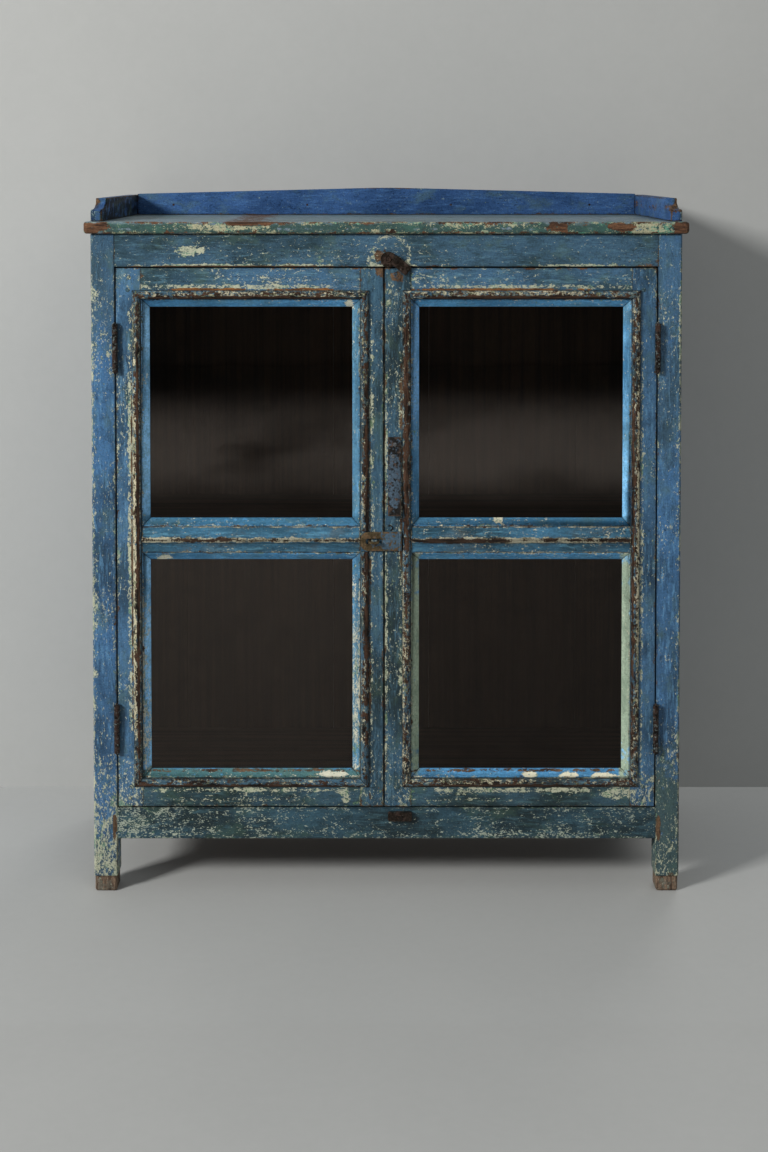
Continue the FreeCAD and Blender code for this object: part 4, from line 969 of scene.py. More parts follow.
@dataclass
class Carcass:
    """Posts, feet, rails and side panels."""

    post_width: float = 42.0 * MM
    post_arris: float = 1.4 * MM
    rail_arris: float = 0.9 * MM
    foot_arris: float = 1.2 * MM

    def build_post(self, node: str) -> None:
        """A post with its corners rubbed round."""
        low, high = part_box(node)
        left = low[0] < 0
        start, outer = low[0], low[0] if left else high[0]
        middle = start + self.post_width / 2
        patches = worn(PALE, (middle, 0.03, 0.10, 0.15, 0.62 if left else 0.18),
                       (middle, 0.14, 0.06, 0.14, 0.35 if left else 0.10),
                       (outer, 0.60, 0.011, 0.62, 0.34 if left else 0.30))
        patches += worn(BARE, (start + (0.037 if left else 0.005), 0.115, 0.005, 0.030, 0.8))
        if node == "front_left_post":
            patches += worn(PALE, (start + 0.004, 1.07, 0.007, 0.018, 0.62, 0.0, 2.2),
                            (start + 0.034, 0.965, 0.010, 0.010, 0.6), (start + 0.020, 1.00, 0.040, 0.150, 0.24))
            patches += worn(ALT, (middle, 1.11, 0.08, 0.16, 0.52))
        else:
            patches += worn(ALT, (middle, 0.10, 0.10, 0.18, 1.0))
        if node == "front_right_post":
            # Painted shade: the right post's upper part darkened where the light falls off to the right
            patches += worn(ALT, (middle, 1.00, 0.10, 0.34, 0.40))
            patches += worn(PALE, (outer, 0.98, 0.007, 0.20, 0.50, 0.0, 2.2))
        piece = eased_copy(node, box_lines(low, high), self.post_arris, 3)
        stand_in(piece, node, POST_PAINT.material(node, low, high, Grain.UPRIGHT, patches=patches))

    def build_foot(self, node: str) -> None:
        """A foot, worn and bare."""
        low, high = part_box(node)
        piece = softened_copy(node, self.foot_arris)
        stand_in(piece, node, FOOT_WOOD.material(node, low, high, Grain.UPRIGHT))

    def build_rail(self, node: str, finish: WornPaint, patches: Sequence[Patch] = ()) -> None:
        """A front rail, seen between the posts."""
        low, high = corners(node)
        low.x, high.x = -INNER, INNER
        lines = [{1: low.y, 2: low.z}, {1: low.y, 2: high.z}, {1: high.y, 2: low.z}]
        piece = eased_copy(node, lines, self.rail_arris)
        stand_in(piece, node, finish.material(node, low, high, Grain.ACROSS, patches=patches))

    def build_side(self, node: str, grain: Grain) -> None:
        """A rail or panel of a side."""
        low, high = corners(node)
        if grain is Grain.DEEP:
            low.y, high.y = FRONT + self.post_width, BACK - self.post_width
            outer = low.x if low.x < 0 else high.x
            piece = eased_copy(node, [{0: outer, 2: low.z}, {0: outer, 2: high.z}], self.rail_arris)
            stand_in(piece, node, SIDE_PAINT.material(node, low, high, grain))
        else:
            give_node(node, SIDE_PAINT.material(node, low, high, grain))

    def build(self) -> None:
        """All of the carcass that shows paint."""
        for node in ("front_left_post", "front_right_post", "rear_left_post", "rear_right_post"):
            self.build_post(node)
            self.build_foot(node.replace("post", "foot"))
        self.build_rail("front_top_rail", RAIL_PAINT, (
            worn(PALE, (-0.346, 1.1465, 0.030, 0.012, 0.92, 0.0, 1.9), (-0.022, 1.135, 0.016, 0.020, 0.7),
                 (0.0072, 1.143, 0.038, 0.034, 0.66, 0.86, 0.30), (-0.05, 1.146, 0.16, 0.030, 0.22),
                 (-0.33, 1.1215, 0.12, 0.0035, 0.74), (-0.15, 1.1215, 0.07, 0.0035, 0.60),
                 (0.34, 1.1215, 0.10, 0.003, 0.60))
            + worn(BARE, (-0.010, 1.138, 0.018, 0.016, 0.8), (-0.27, 1.1195, 0.20, 0.0022, 0.62))
        ))
        self.build_rail("front_bottom_rail", LOW_RAIL_PAINT, (
            worn(PALE, (-0.465, 0.125, 0.05, 0.05, 0.30), (-0.25, 0.106, 0.30, 0.010, 0.2),
                 (0.28, 0.104, 0.22, 0.010, 0.25))
            + worn(BARE, (0.03, 0.14, 0.04, 0.02, 0.3))
        ))
        for hand in ("left", "right"):
            for level in ("top", "bottom"):
                self.build_side(f"{hand}_{level}_rail", Grain.DEEP)
            self.build_side(f"{hand}_side_panel", Grain.UPRIGHT)


@dataclass
class Inside:
    """What stands behind the doors, and the boards of the back."""

    shelf_arris: float = 1.5 * MM
    nail_radius: float = 2.4 * MM
    nail_height: float = 0.7 * MM
    nail_inset: float = 30.0 * MM
    nails_below: tuple[float, ...] = (40.0 * MM, 14.0 * MM)
    nails_above: tuple[float, ...] = (15.0 * MM, 44.0 * MM)
    board_ends: tuple[float, ...] = (0.0, 0.078, 0.387, 0.588, 0.897, 1.0)

    def build(self) -> None:
        """Bare boards, darkened by age."""
        for node, grain in (
            ("rear_top_rail", Grain.ACROSS), ("rear_bottom_rail", Grain.ACROSS), ("floor_board", Grain.ACROSS),
            ("shelf_bearers", Grain.DEEP), ("door_stop", Grain.ACROSS),
        ):
            give_node(node, CASE_WOOD.material(node, grain))
        give_node("back_boards", BACK_WOOD.material("back_boards", Grain.UPRIGHT))
        low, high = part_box("shelf")
        shelf = eased_copy("shelf", [{1: low[1], 2: low[2]}, {1: low[1], 2: high[2]}], self.shelf_arris, 3)
        stand_in(shelf, "shelf", CASE_WOOD.material("shelf", Grain.ACROSS))
        self.nail_back()

    def nail_back(self) -> None:
        """Two nails through each back board into each rear rail."""
        width = 2 * INNER
        heights = [OPENING_LOW - drop for drop in self.nails_below]
        heights += [OPENING_HIGH + rise for rise in self.nails_above]
        places = []
        for start, end in zip(self.board_ends, self.board_ends[1:]):
            inset = min(self.nail_inset, (end - start) * width / 4)
            for x in (start * width - INNER + inset, end * width - INNER - inset):
                places += [(x, BACK - SUNK, z) for z in heights]
        nails = row_of_heads("back_board_nails", places, self.nail_radius, self.nail_height, (0.0, 1.0, 0.0))
        add_to(nails, "case", NAIL_IRON.material("back_board_nails"))


@dataclass
class TopAndGallery:
    """The top board and the low boards that stand on it."""

    corner_round: float = 8.0 * MM
    nose_round: float = 5.5 * MM
    gallery_arris: float = 1.6 * MM
    dent_size: float = 18.0 * MM
    dent: float = 0.7 * MM
    nail_radius: float = 2.2 * MM
    nail_height: float = 0.6 * MM
    nail_rise: float = 20.0 * MM
    nail_places: tuple[float, ...] = (-0.43, -0.16, 0.13, 0.41)

    def build_top(self) -> None:
        """The top board, shaped from a plain block."""
        low, high = corners("top_board")
        bpy.ops.mesh.primitive_cube_add(size=1.0, location=(low + high) / 2)
        piece = just_added("top_board_worn", high - low)
        open_mesh(piece)
        select_edges(piece, on_lines([{0: low.x, 1: low.y}, {0: high.x, 1: low.y}]))
        bevel_selected(self.corner_round, 5)
        mark("DESELECT")
        at_rear = on_lines([{1: high.y}])

        def outline(edge: Edge) -> bool:
            """Whether the edge is part of the upper or lower outline, the rear left out."""
            first, second = (vertex.co for vertex in edge.verts)
            return abs(first.z - second.z) < SAME_PLACE and not at_rear(edge)

        select_edges(piece, outline)
        bevel_selected(self.nose_round, 4)
        mark()
        bpy.ops.mesh.subdivide(number_cuts=5)
        close_mesh()
        press_dents(piece, self.dent_size, self.dent, 40.0)
        patches = (
            worn(BARE, (-0.515, 1.188, 0.030, 0.012, 1.2), (0.300, 1.190, 0.024, 0.010, 0.8),
                 (0.413, 1.190, 0.026, 0.009, 0.9), (0.520, 1.188, 0.020, 0.012, 1.2),
                 (-0.250, 1.196, 0.060, 0.006, 0.6))
            + worn(PALE, (0.468, 1.188, 0.045, 0.014, 0.62), (-0.290, 1.189, 0.100, 0.008, 0.7),
                 (0.170, 1.191, 0.120, 0.006, 0.35))
            + worn(ALT, (0.0, (low.z + high.z) / 2 - 0.002, 20.0, 0.014, 0.95))
        )
        material = TOP_PAINT.material("top_board", low, high, Grain.ACROSS, patches=patches)
        stand_in(piece, "top_board", material)

    def build_gallery(self, node: str, grain: Grain) -> None:
        """A gallery board with its upper edges rubbed through, and on the left board a painted shadow over the
        inner face.
        """
        low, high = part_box(node)
        top = high[2]
        patches: list[Patch] = []
        if node == "gallery_left":
            # Painted shadow over the left board's inner face
            patches += worn(ALT, (high[0], top - 0.020, 0.004, 1.0, 1.0))
        if node == "gallery_right":
            patches += worn(BARE, ((low[0] + high[0]) / 2, top - 0.018, 0.02, 0.012, 0.45))
        if node != "gallery_back":
            outer = low[0] if low[0] < 0 else high[0]
            patches += worn(ALT, (outer, top - 0.020, 0.010, 0.06, 0.62))
            patches += worn(BARE, (outer, top - 0.008, 0.010, 0.012, 0.6))
            patches += worn(PALE, (outer, top - 0.030, 0.012, 0.020, 0.4))
        piece = softened_copy(node, self.gallery_arris, 28.0, 3)
        stand_in(piece, node, GALLERY_PAINT.material(node, low, high, grain, patches=patches))

    def build(self) -> None:
        """The top, then its gallery and the nails that hold it."""
        self.build_top()
        for side, grain in (("left", Grain.DEEP), ("right", Grain.DEEP), ("back", Grain.ACROSS)):
            self.build_gallery(f"gallery_{side}", grain)
        low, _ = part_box("gallery_back")
        places = [(x, low[1] + SUNK, low[2] + self.nail_rise) for x in self.nail_places]
        nails = row_of_heads("gallery_nails", places, self.nail_radius, self.nail_height)
        add_to(nails, "case", NAIL_IRON.material("gallery_nails"))


@dataclass
class Door:
    """A glazed door: its frame, moulding, beads and panes."""

    hand: str
    arris: float = 1.1 * MM
    bead_arris: float = 0.5 * MM
    lip: float = 9.0 * MM
    moulding_width: float = 16.0 * MM
    moulding_height: float = 6.5 * MM
    moulding_edge: float = 1.5 * MM
    strip_step: float = 8.0 * MM
    mid_rail_crown: float = 5.0 * MM
    hasp_gap: float = 1.5 * MM
    dent_size: float = 14.0 * MM
    dent: float = 0.8 * MM
    peg_shift: float = 6.0 * MM
    peg_radius: float = 4.0 * MM
    peg_height: float = 0.6 * MM
    # Patches of wear by piece; on the beads a few of them are painted shade
    wear: dict[str, list[Patch]] = field(default_factory=dict)

    def face(self, node: str) -> tuple[Vector, Vector]:
        """The corners of a frame piece's front, without its lips and tenons."""
        low, high = corners(node)
        if node.endswith("stile"):
            if node in ("left_hinge_stile", "right_meeting_stile"):
                high.x -= self.lip
            else:
                low.x += self.lip
        else:
            stiles = [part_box(f"{self.hand}_{stile}_stile") for stile in ("hinge", "meeting")]
            first, last = sorted(stiles, key=lambda box: box[0][0])
            low.x, high.x = first[1][0] - self.lip, last[0][0] + self.lip
            if not node.endswith("bottom_rail"):
                low.z += self.lip
            if not node.endswith("top_rail"):
                high.z -= self.lip
        low.y = FRONT
        return low, high

    def build_stile(self, node: str) -> None:
        """A stile, its long front corners rubbed."""
        low, high = self.face(node)
        piece = eased_copy(node, [{0: low.x, 1: low.y}, {0: high.x, 1: low.y}], self.arris)
        finish = MEETING_PAINT if "meeting" in node else DOOR_PAINT
        stand_in(piece, node, finish.material(node, low, high, Grain.UPRIGHT, patches=self.wear[node]))

    def build_rail(self, node: str, finish: WornPaint, crown: float | None = None) -> None:
        """A rail between the stiles."""
        low, high = self.face(node)
        piece = eased_copy(node, [{1: low.y, 2: low.z}, {1: low.y, 2: high.z}], self.arris)
        stand_in(piece, node, finish.material(node, low, high, Grain.ACROSS, crown, self.wear[node]))

    def strip(self, name: str, length: float) -> Piece:
        """One length of moulding along +X, its outer edge at Z 0, both ends mitred.

        Args:
            name: the strip's name.
            length: its longer, outer length.

        Returns:
            The strip, not yet in place.
        """
        width, height, edge = self.moulding_width, self.moulding_height, self.moulding_edge
        crown = height - edge
        radius = (width * width / 4 + crown * crown) / (2 * crown)
        piece = disc(name, 48, radius, (0.0, radius - height, width / 2))
        open_mesh(piece)
        cut_off((0.0, -edge, 0.0), (0.0, 1.0, 0.0), fill=False)
        mark("DESELECT")
        select_edges(piece, on_lines([{1: -edge}]))
        bpy.ops.mesh.extrude_region_move(TRANSFORM_OT_translate={"value": (0.0, edge, 0.0)})
        mark()
        bpy.ops.mesh.extrude_region_move(TRANSFORM_OT_translate={"value": (length, 0.0, 0.0)})
        mark("DESELECT")
        select_edges(piece, lambda run: abs(run.verts[0].co.x - run.verts[1].co.x) > length / 2)
        bpy.ops.mesh.subdivide(number_cuts=max(8, int(length / self.strip_step)))
        cut_off((0.0, 0.0, 0.0), (-1.0, 0.0, 1.0))
        cut_off((length, 0.0, 0.0), (1.0, 0.0, 1.0))
        turn_outward()
        close_mesh()
        return piece

    def build_moulding(self) -> None:
        """The moulding round the panes, with dents along it, cut away under the hasp."""
        node = f"{self.hand}_door_moulding"
        low, high = corners(node)
        across, upright = high.x - low.x, high.z - low.z
        strips = []
        for name, length, turn, x, z in (
            ("bottom", across, 0.0, low.x, low.z), ("right", upright, -90.0, high.x, low.z),
            ("top", across, 180.0, high.x, high.z), ("left", upright, 90.0, low.x, high.z),
        ):
            piece = self.strip(f"{node}_{name}", length)
            piece.rotation_euler = (0.0, math.radians(turn), 0.0)
            piece.location = (x, FRONT, z)
            settle(piece)
            if self.hand == "left" and name == "right":
                piece = self.cut_for_hasp(piece)
            strips.append(piece)
        piece = joined(f"{node}_worn", strips)
        press_dents(piece, self.dent_size, self.dent, 38.0)
        material = MOULDING_PAINT.material(node, low, high, None, FRONT - self.moulding_height, self.wear[node])
        stand_in(piece, node, material)

    def cut_for_hasp(self, piece: Piece) -> Piece:
        """The strip in two lengths, above and below the hasp's strap."""
        strap_low, strap_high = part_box("hasp_strap")
        other = linked(f"{piece.name}_lower", piece.data.copy())
        for part, height, lean in (
            (piece, strap_high[2] + self.hasp_gap, -1.0), (other, strap_low[2] - self.hasp_gap, 1.0),
        ):
            open_mesh(part)
            cut_off((0.0, 0.0, height), (0.0, 0.0, lean))
            close_mesh()
        return joined(piece.name, [piece, other])

    def build_glazing(self) -> None:
        """Beads and panes of both lights."""
        for level in ("upper", "lower"):
            bead = f"{self.hand}_{level}_bead"
            finish = LEFT_BEAD_PAINT if self.hand == "left" else RIGHT_BEAD_PAINT
            # The upper beads take a darker alt, painted shade for their bottom runs that face up
            if level == "upper":
                finish = replace(finish, alt=UPPER_BEAD_SHADE)
            low, high = corners(bead)
            piece = softened_copy(bead, self.bead_arris, 30.0)
            stand_in(piece, bead, finish.material(bead, low, high, None, low.y, self.wear[bead]))
            pane = f"{self.hand}_{level}_glass"
            give_node(pane, GLASS.material(pane))

    def build_pegs(self) -> None:
        """Two round pegs through each tenon of the frame."""
        name = f"{self.hand}_door_pegs"
        stiles = [f"{self.hand}_hinge_stile", f"{self.hand}_meeting_stile"]
        faces = [self.face(stile) for stile in stiles]
        places = []
        for rail in ("bottom", "mid", "top"):
            low, high = self.face(f"{self.hand}_door_{rail}_rail")
            for first, last in faces[:1] if rail == "mid" else faces:
                places += [((first.x + last.x) / 2 + (share - 0.5) * self.peg_shift, FRONT + SUNK,
                            low.z + share * (high.z - low.z)) for share in (0.3, 0.7)]
        pegs = row_of_heads(name, places, self.peg_radius, self.peg_height)
        (low, high), far = faces[0], Vector((1.0, 1.0, 1.0))
        material = MEETING_PAINT.material(name, low - far, high + far, Grain.NONE,
                                          patches=self.wear[stiles[0]] + self.wear[stiles[1]])
        add_to(pegs, f"{self.hand}_door", material)

    def build(self) -> None:
        """The whole door."""
        for name in ("hinge", "meeting"):
            self.build_stile(f"{self.hand}_{name}_stile")
        self.build_rail(f"{self.hand}_door_top_rail", DOOR_RAIL_PAINT)
        self.build_rail(f"{self.hand}_door_bottom_rail", LOW_DOOR_PAINT)
        self.build_rail(f"{self.hand}_door_mid_rail", MID_RAIL_PAINT, FRONT - self.mid_rail_crown)
        self.build_moulding()
        self.build_glazing()
        self.build_pegs()


@dataclass
class ButtHinges:
    """The two butt hinges of one door."""

    hand: str
    tip_round: float = 1.6 * MM
    half_length: float = 43.0 * MM
    screw_radius: float = 3.4 * MM
    screw_height: float = 0.22 * MM
    screw_seat: float = 0.27 * MM
    screw_places: tuple[tuple[float, float], ...] = ((-0.030, 0.011), (0.0, 0.015), (0.030, 0.011))

    def build(self) -> None:
        """Leaves, pins, and the screws that show when the door is open."""
        for node in (f"{self.hand}_post_leaves", f"{self.hand}_door_leaves", f"{self.hand}_hinge_pins"):
            if node.endswith("pins"):
                piece = softened_copy(node, self.tip_round, 40.0, 3)
            else:
                piece = whole_copy(node, f"{node}_worn")
                smooth(piece, 30.0)
            stand_in(piece, node, HINGE_IRON.material(node))
        self.screw_down("post", 1 if self.hand == "left" else -1)
        self.screw_down("door", -1 if self.hand == "left" else 1)

    def screw_down(self, owner: str, facing: int) -> None:
        """Three screw heads in each leaf of one side.

        Args:
            owner: post or door.
            facing: which way along X the leaf's open face looks.
        """
        name = f"{self.hand}_{owner}_leaf_screws"
        low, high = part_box(f"{self.hand}_{owner}_leaves")
        first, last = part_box(f"{self.hand}_hinge_pins")
        x = (first[0] + last[0]) / 2 - facing * self.screw_seat
        places = [(x, high[1] - depth, middle + offset)
                  for middle in (low[2] + self.half_length, high[2] - self.half_length)
                  for offset, depth in self.screw_places]
        screws = row_of_heads(name, places, self.screw_radius, self.screw_height, (float(facing), 0.0, 0.0))
        body = "case" if owner == "post" else f"{self.hand}_door"
        add_to(screws, body, NAIL_IRON.material(name))


@dataclass
class Fittings:
    """Hasp, pull and turn buttons."""

    thin_arris: float = 0.5 * MM
    thick_arris: float = 0.9 * MM
    pull_thickness: float = 3.0 * MM
    nail_radius: float = 3.6 * MM
    nail_height: float = 1.8 * MM
    rivet_radius: float = 3.4 * MM
    rivet_height: float = 1.2 * MM
    pull_nails: tuple[tuple[float, float], ...] = ((1.0 * MM, 13.0 * MM), (-2.0 * MM, 34.0 * MM))
    button_pivot: tuple[float, float] = (3.7 * MM, 1131.7 * MM)
    arm_droop: float = math.radians(40.0)
    rivet_place: tuple[float, float] = (14.0 * MM, 6.5 * MM)
    wire_radius: float = 0.9 * MM
    curl_radius: float = 4.2 * MM
    curl_turn: float = math.radians(230.0)
    curl_place: tuple[float, float] = (6.6 * MM, 6.5 * MM)

    def build_hasp(self) -> None:
        """The plate and strap on the right door, and the staple on the left one."""
        low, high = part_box("hasp_strap")
        middle = (low[2] + high[2]) / 2
        patches = worn(ALT, (high[0] - 0.018, middle, 0.036, 0.036, 0.56))
        for node in ("hasp_plate", "hasp_strap", "hasp_staple"):
            piece = softened_copy(node, self.thin_arris, 40.0)
            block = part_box(node) if node == "hasp_strap" else None
            material = HASP_IRON.material(node, patches if node != "hasp_staple" else (), block)
            stand_in(piece, node, material)

    def build_pull(self) -> None:
        """The bent pull and its two nails."""
        low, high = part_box("pull_strap")
        piece = softened_copy("pull_strap", self.thick_arris, 30.0)
        patches = worn(BARE, (low[0], low[2], 0.05, 0.026, 0.42, 0.0, 3.0),
                       (low[0], high[2], 0.05, 0.050, 0.30, 0.0, 3.0))
        stand_in(piece, "pull_strap", PULL_IRON.material("pull_strap", patches, (low, high)))
        x, y = (low[0] + high[0]) / 2, FRONT - self.pull_thickness + SUNK
        places = [(x + aside, y, high[2] - down) for aside, down in self.pull_nails]
        nails = row_of_heads("pull_nails", places, self.nail_radius, self.nail_height)
        add_to(nails, "right_door", NAIL_TIN.material("pull_nails"))

    def build_buttons(self) -> None:
        """Both turn buttons, their screws, and the rivet in the upper one's arm."""
        for node in ("upper_turn_button", "lower_turn_button"):
            piece = softened_copy(node, self.thick_arris, 40.0)
            stand_in(piece, node, BUTTON_IRON.material(node))
        piece = softened_copy("button_pivots", self.thin_arris, 50.0, 3)
        stand_in(piece, "button_pivots", NAIL_IRON.material("button_pivots"))
        low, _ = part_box("upper_turn_button")
        along, above = self.rivet_place
        flat, steep = math.cos(self.arm_droop), math.sin(self.arm_droop)
        x = self.button_pivot[0] + along * flat + above * steep
        z = self.button_pivot[1] - along * steep + above * flat
        rivet = row_of_heads("button_rivet", [(x, low[1] + SUNK, z)], self.rivet_radius, self.rivet_height)
        add_to(rivet, "upper_button", NAIL_IRON.material("button_rivet"))

    def build_bent_nail(self) -> None:
        """A nail bent over beside the strap, its wire spun round in a curl."""
        x, rise = self.curl_place
        place = Vector((x, FRONT - self.wire_radius * 0.9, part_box("hasp_strap")[1][2] + rise))
        piece = disc("bent_nail", 8, self.wire_radius, place - Vector((0.0, 0.0, self.curl_radius)))
        open_mesh(piece, "SELECT")
        bpy.ops.mesh.spin(steps=12, angle=self.curl_turn, center=place, axis=(0.0, 1.0, 0.0))
        turn_outward()
        close_mesh()
        smooth(piece, 50.0)
        add_to(piece, "right_door", NAIL_IRON.material("bent_nail"))

    def build(self) -> None:
        """All the fittings."""
        self.build_bent_nail()
        self.build_hasp()
        self.build_pull()
        self.build_buttons()


@dataclass
class Studio:
    """Floor, wall, light and camera."""

    camera_height: float = 1.2934
    camera_distance: float = 2.8777
    tilt: float = 1.97
    focal_pixels: float = 1633.0
    centre: tuple[float, float] = (386.4, 224.0)
    picture: tuple[int, int] = (768, 1152)
    sensor: float = 36.0
    half_width: float = 7.0
    room_end: float = -7.9
    room_height: float = 5.0
    wall_gap: float = 0.493
    carpet_gap: float = 0.45
    floor_colour: Colour = shade(172, 173, 171)
    wall_colour: Colour = shade(174, 175, 173)
    dark_colour: Colour = shade(30, 26, 23)

    def plane(self, name: str, low: Triple, high: Triple, colour: Colour, clear: Clear) -> Piece:
        """A flat part of the stage between two corners."""
        middle = (Vector(low) + Vector(high)) / 2
        size = Vector(high) - Vector(low)
        upright = size.y < SAME_PLACE
        turn = math.pi / 2 if upright else 0.0
        bpy.ops.mesh.primitive_plane_add(size=1.0, location=middle, rotation=(turn, 0.0, 0.0))
        piece = just_added(name, (size.x, size.z if upright else size.y, 1.0))
        material, graph, shader, place = surface(f"{name}_finish")
        tone = 0.90 + graph.noise(place, 1.7, 4.0, 0.6) * 0.14 + graph.noise(place, 55.0, 3.0, 0.6) * 0.06
        graph.feed(shader.inputs["Base Color"], graph.brighten(colour, tone))
        shader.inputs["Roughness"].default_value = 0.75
        if clear is not Clear.NEVER:
            unseen = graph.value("ShaderNodeNewGeometry", output="Backfacing")
            if clear is Clear.BUT_IN_GLASS:
                unseen = graph.value("ShaderNodeLightPath", output="Glossy Depth").below(0.5)
            seen, nothing = Value(graph, shader.outputs[0]), graph.value("ShaderNodeBsdfTransparent")
            graph.feed(material.node_tree.nodes["Material Output"].inputs["Surface"],
                       graph.value("ShaderNodeMixShader", unseen, seen, nothing))
        give(piece, material)
        return piece

    def build_stage(self) -> None:
        """A plain floor, a plain wall behind, and a dark room for the glass to reflect."""
        side, end, top, over = self.half_width, self.room_end, self.room_height, 4.0 * MM
        back = FRONT + self.wall_gap
        self.plane("floor", (-side, -8.0, 0.0), (side, 7.0, 0.0), self.floor_colour, Clear.NEVER)
        wall = self.plane("wall", (-side, back, 0.0), (side, back, top), self.wall_colour, Clear.FROM_BEHIND)
        room = self.plane("dark_room", (-side, end, over), (side, end, top), self.dark_colour, Clear.BUT_IN_GLASS)
        carpet = self.plane("dark_carpet", (-side, end, over), (side, FRONT - self.carpet_gap, over),
                            self.dark_colour, Clear.BUT_IN_GLASS)
        for piece in (wall, room, carpet):
            piece.visible_shadow = piece.visible_diffuse = False
        for piece in (room, carpet):
            piece.visible_camera = False
            self.add_soft_shapes(piece)

    def add_soft_shapes(self, room: Piece) -> None:
        """Dim, soft shapes across the dark room, for the panes to reflect."""
        tree = room.data.materials[0].node_tree
        graph = Graph(tree)
        place = graph.value("ShaderNodeTexCoord", output="Object")
        x, y, z = graph.split(place)
        # Painted reflection: a bright soft band and patches on planes that are seen only in the panes
        cloud = graph.noise(place * (0.8, 0.35, 0.5), 1.3, 3.0, 0.5)
        far = y.band(-7.0, -5.2) * (1.0 - y.band(-4.4, -3.3))
        far = far * (cloud.band(0.20, 0.50) * (0.72 + x.band(-0.3, 0.5) * 0.28))
        near = y.band(-3.6, -2.6) * (0.46 - x.band(-0.2, 0.2) * 0.26)
        glow = graph.sum("MULTIPLY", far + near, 1.0 - z.band(0.01, 0.25), clamp=True)
        reach = y.band(-7.6, -4.8).greater(z.band(0.01, 0.05))
        colour = graph.mix(reach, shade(26, 22, 19), shade(60, 52, 47))
        colour = graph.mix(glow, colour, shade(200, 184, 172))
        graph.feed(tree.nodes["Principled BSDF"].inputs["Base Color"], colour)

    def lamp(self, name: str, place: Triple, aim: Triple, size: float, power: float, colour: Triple) -> None:
        """A square lamp that looks at a point."""
        data = bpy.data.lights.new(name, "AREA")
        data.size = size
        data.energy = power
        data.color = colour
        lamp = linked(name, data)
        lamp.location = place
        lamp.rotation_euler = (Vector(aim) - Vector(place)).to_track_quat("-Z", "Y").to_euler()
        lamp.visible_glossy = False
        lamp.visible_transmission = False

    def build_light(self) -> None:
        """Soft daylight from the front left, with an even fill, and a lamp for views from behind."""
        front, rear = (0.0, -0.2, 0.6), (0.0, 0.2, 0.6)
        self.lamp("window", (-4.68, -3.86, 3.24), front, 1.2, 430.0, (1.0, 0.99, 0.975))
        self.lamp("room", (1.8, -4.2, 3.2), front, 3.0, 30.0, (1.0, 0.99, 0.97))
        self.lamp("rear", (2.4, 5.4, 3.0), rear, 2.4, 110.0, (1.0, 0.99, 0.97))
        world = bpy.context.scene.world or bpy.data.worlds.new("daylight")
        bpy.context.scene.world = world
        world.use_nodes = True
        world.node_tree.nodes.clear()
        graph = Graph(world.node_tree)
        height = graph.split(graph.value("ShaderNodeTexCoord", output="Generated"))[2]
        light = graph.value("ShaderNodeBackground", (0.95, 0.98, 1.0, 1.0), 0.05 + height.band(0.05, 0.60) * 0.33)
        seen = graph.value("ShaderNodeBackground", shade(184, 185, 184))
        camera, glossy, through, bounces = (
            graph.value("ShaderNodeLightPath", output=name)
            for name in ("Is Camera Ray", "Is Glossy Ray", "Is Transmission Ray", "Diffuse Depth"))
        direct = graph.sum("ADD", camera + glossy, through, clamp=True) * bounces.below(0.5)
        output = graph.add("ShaderNodeOutputWorld")
        graph.feed(output.inputs[0], graph.value("ShaderNodeMixShader", direct, light, seen))
        bpy.context.scene.view_settings.view_transform = "Standard"

    def build_camera(self) -> None:
        """The camera at the photograph's place."""
        data = bpy.data.cameras.new("camera")
        wide, tall = self.picture
        data.sensor_width = self.sensor
        data.sensor_fit = "AUTO"
        data.lens = self.focal_pixels * self.sensor / tall
        data.shift_x = (wide / 2 - self.centre[0]) / tall
        data.shift_y = -(tall / 2 - self.centre[1]) / tall
        data.clip_start = 0.05
        data.clip_end = 60.0
        camera = linked("camera", data)
        camera.location = (0.0, FRONT - self.camera_distance, self.camera_height)
        camera.rotation_euler = (math.radians(90.0 - self.tilt), 0.0, 0.0)
        bpy.context.scene.camera = camera

    def build(self) -> None:
        """The whole studio."""
        self.build_stage()
        self.build_light()
        self.build_camera()


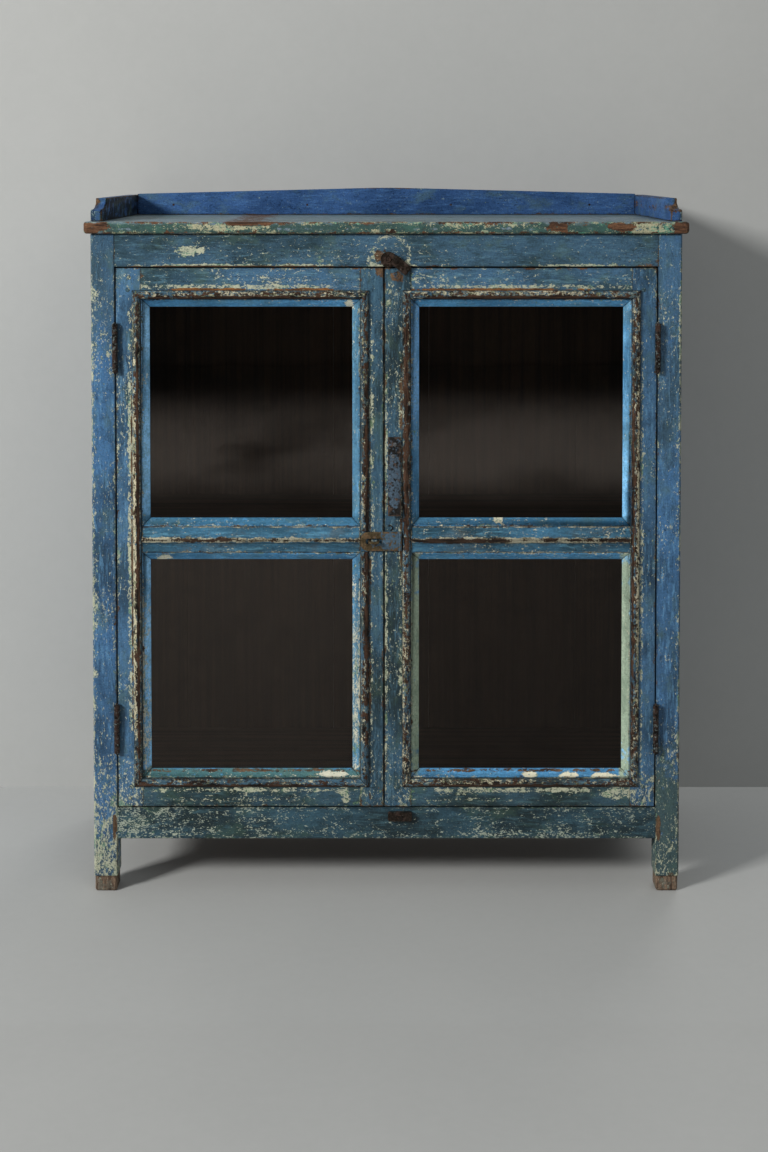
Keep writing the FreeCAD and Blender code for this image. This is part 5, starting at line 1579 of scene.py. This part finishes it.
LEFT_DOOR_WEAR_AND_SHADE = {
    "left_door_top_rail": (
        worn(PALE, (-0.26, 1.083, 0.25, 0.006, 0.70), (-0.20, 1.096, 0.10, 0.008, 0.31))
        + worn(BARE, (-0.31, 1.0785, 0.09, 0.0035, 0.96), (-0.14, 1.0785, 0.09, 0.0035, 0.72))
    ),
    "left_door_bottom_rail": (
        worn(PALE, (-0.27, 0.184, 0.22, 0.006, 0.60, 0.0, 2.4), (-0.30, 0.166, 0.20, 0.004, 0.36),
             (-0.075, 0.176, 0.014, 0.018, 0.87))
    ),
    "left_hinge_stile": (
        worn(PALE, (-0.4535, 0.64, 0.007, 0.50, 0.68), (-0.452, 1.10, 0.020, 0.012, 0.43),
             (-0.462, 0.19, 0.030, 0.06, 0.5))
        + worn(BARE, (-0.4515, 0.64, 0.002, 0.46, 0.64))
    ),
    "left_meeting_stile": (
        worn(PALE, (-0.0265, 0.74, 0.006, 0.34, 0.50), (-0.027, 0.40, 0.004, 0.24, 0.38))
        + worn(BARE, (-0.029, 0.50, 0.003, 0.44, 0.45), (-0.012, 1.11, 0.012, 0.012, 0.64))
    ),
    "left_door_moulding": (
        worn(PALE, (-0.447, 0.60, 0.006, 0.44, 0.62), (-0.24, 1.069, 0.22, 0.008, 0.18))
        + worn(BARE, (-0.440, 0.63, 0.003, 0.46, 0.96), (-0.24, 1.063, 0.22, 0.005, 0.62),
             (-0.034, 0.63, 0.005, 0.44, 0.38, 0.0, 2.8), (-0.25, 0.192, 0.22, 0.005, 0.56))
    ),
    "left_upper_bead": (
        worn(PALE, (-0.064, 1.050, 0.012, 0.012, 0.99))
        # Painted shade: the bottom run, which faces up, painted darker
        + worn(ALT, (-0.25, 0.668, 1.0, 0.012, 0.85))
    ),
    "left_lower_bead": (
        worn(PALE, (-0.096, 0.211, 0.034, 0.006, 1.24), (-0.395, 0.600, 0.016, 0.008, 1.12),
             (-0.340, 0.590, 0.040, 0.003, 0.87), (-0.058, 0.40, 0.014, 0.24, 0.5),
             (-0.427, 0.36, 0.016, 0.24, 0.40))
        # Painted shade: the bottom run, which faces up, painted darker
        + worn(ALT, (-0.25, 0.210, 1.0, 0.014, 1.0))
        + worn(BARE, (-0.25, 0.2165, 0.4, 0.0035, 0.5))
    ),
    "left_door_mid_rail": worn(PALE, (-0.40, 0.634, 0.06, 0.006, 0.99)),
}
RIGHT_DOOR_WEAR_AND_SHADE = {
    "right_door_top_rail": (
        worn(PALE, (0.24, 1.083, 0.24, 0.006, 0.58), (0.07, 1.098, 0.06, 0.012, 0.40))
        + worn(BARE, (0.20, 1.0785, 0.20, 0.0035, 0.8))
    ),
    "right_door_bottom_rail": (
        worn(PALE, (0.42, 0.178, 0.05, 0.014, 0.74), (0.22, 0.184, 0.22, 0.006, 0.62),
             (0.15, 0.166, 0.12, 0.004, 0.37))
    ),
    "right_meeting_stile": (
        worn(PALE, (0.000, 0.62, 0.004, 0.48, 0.36), (0.0255, 0.62, 0.005, 0.46, 0.42),
             (0.010, 1.06, 0.014, 0.05, 0.37))
        + worn(BARE, (0.0265, 0.78, 0.004, 0.28, 0.50), (0.020, 1.10, 0.020, 0.014, 0.64))
    ),
    "right_hinge_stile": worn(PALE, (0.4530, 0.60, 0.005, 0.46, 0.56), (0.455, 0.19, 0.025, 0.05, 0.43)),
    "right_door_moulding": (
        worn(PALE, (0.030, 0.42, 0.004, 0.24, 0.30), (0.24, 1.072, 0.22, 0.006, 0.31),
             (0.446, 0.60, 0.004, 0.40, 0.6))
        + worn(BARE, (0.035, 0.80, 0.007, 0.28, 0.34, 0.0, 2.8), (0.24, 1.064, 0.22, 0.005, 0.64),
             (0.437, 0.63, 0.003, 0.44, 0.4), (0.24, 0.192, 0.22, 0.005, 0.64))
    ),
    "right_upper_bead": (
        worn(PALE, (0.200, 0.668, 0.016, 0.010, 1.12))
        # Painted shade: the bottom run, which faces up, painted darker
        + worn(ALT, (0.25, 0.668, 1.0, 0.012, 0.7))
    ),
    "right_lower_bead": (
        worn(ALT, (0.427, 0.40, 0.016, 0.30, 1.6), (0.050, 0.40, 0.016, 0.30, 1.2))
        + worn(PALE, (0.14, 0.592, 0.10, 0.004, 1.24), (0.34, 0.592, 0.06, 0.003, 0.87),
             (0.255, 0.210, 0.018, 0.006, 1.36), (0.325, 0.210, 0.020, 0.006, 1.3),
             (0.385, 0.209, 0.030, 0.005, 1.36))
        + worn(BARE, (0.25, 0.2165, 0.4, 0.0035, 0.55))
    ),
    "right_door_mid_rail": (
        worn(BARE, (0.12, 0.631, 0.10, 0.006, 0.40))
        + worn(PALE, (0.30, 0.631, 0.16, 0.007, 0.45))
    ),
}


def main() -> None:
    """Builds the cabinet piece by piece, then the studio round it."""
    logging.basicConfig(level=logging.INFO, format="%(name)s: %(message)s")
    clear_selection()
    Carcass().build()
    Inside().build()
    TopAndGallery().build()
    Door("left", wear=LEFT_DOOR_WEAR_AND_SHADE).build()
    Door("right", wear=RIGHT_DOOR_WEAR_AND_SHADE).build()
    for hand in ("left", "right"):
        ButtHinges(hand).build()
    Fittings().build()
    Studio().build()
    clear_selection()


if __name__ == "__main__":
    main()
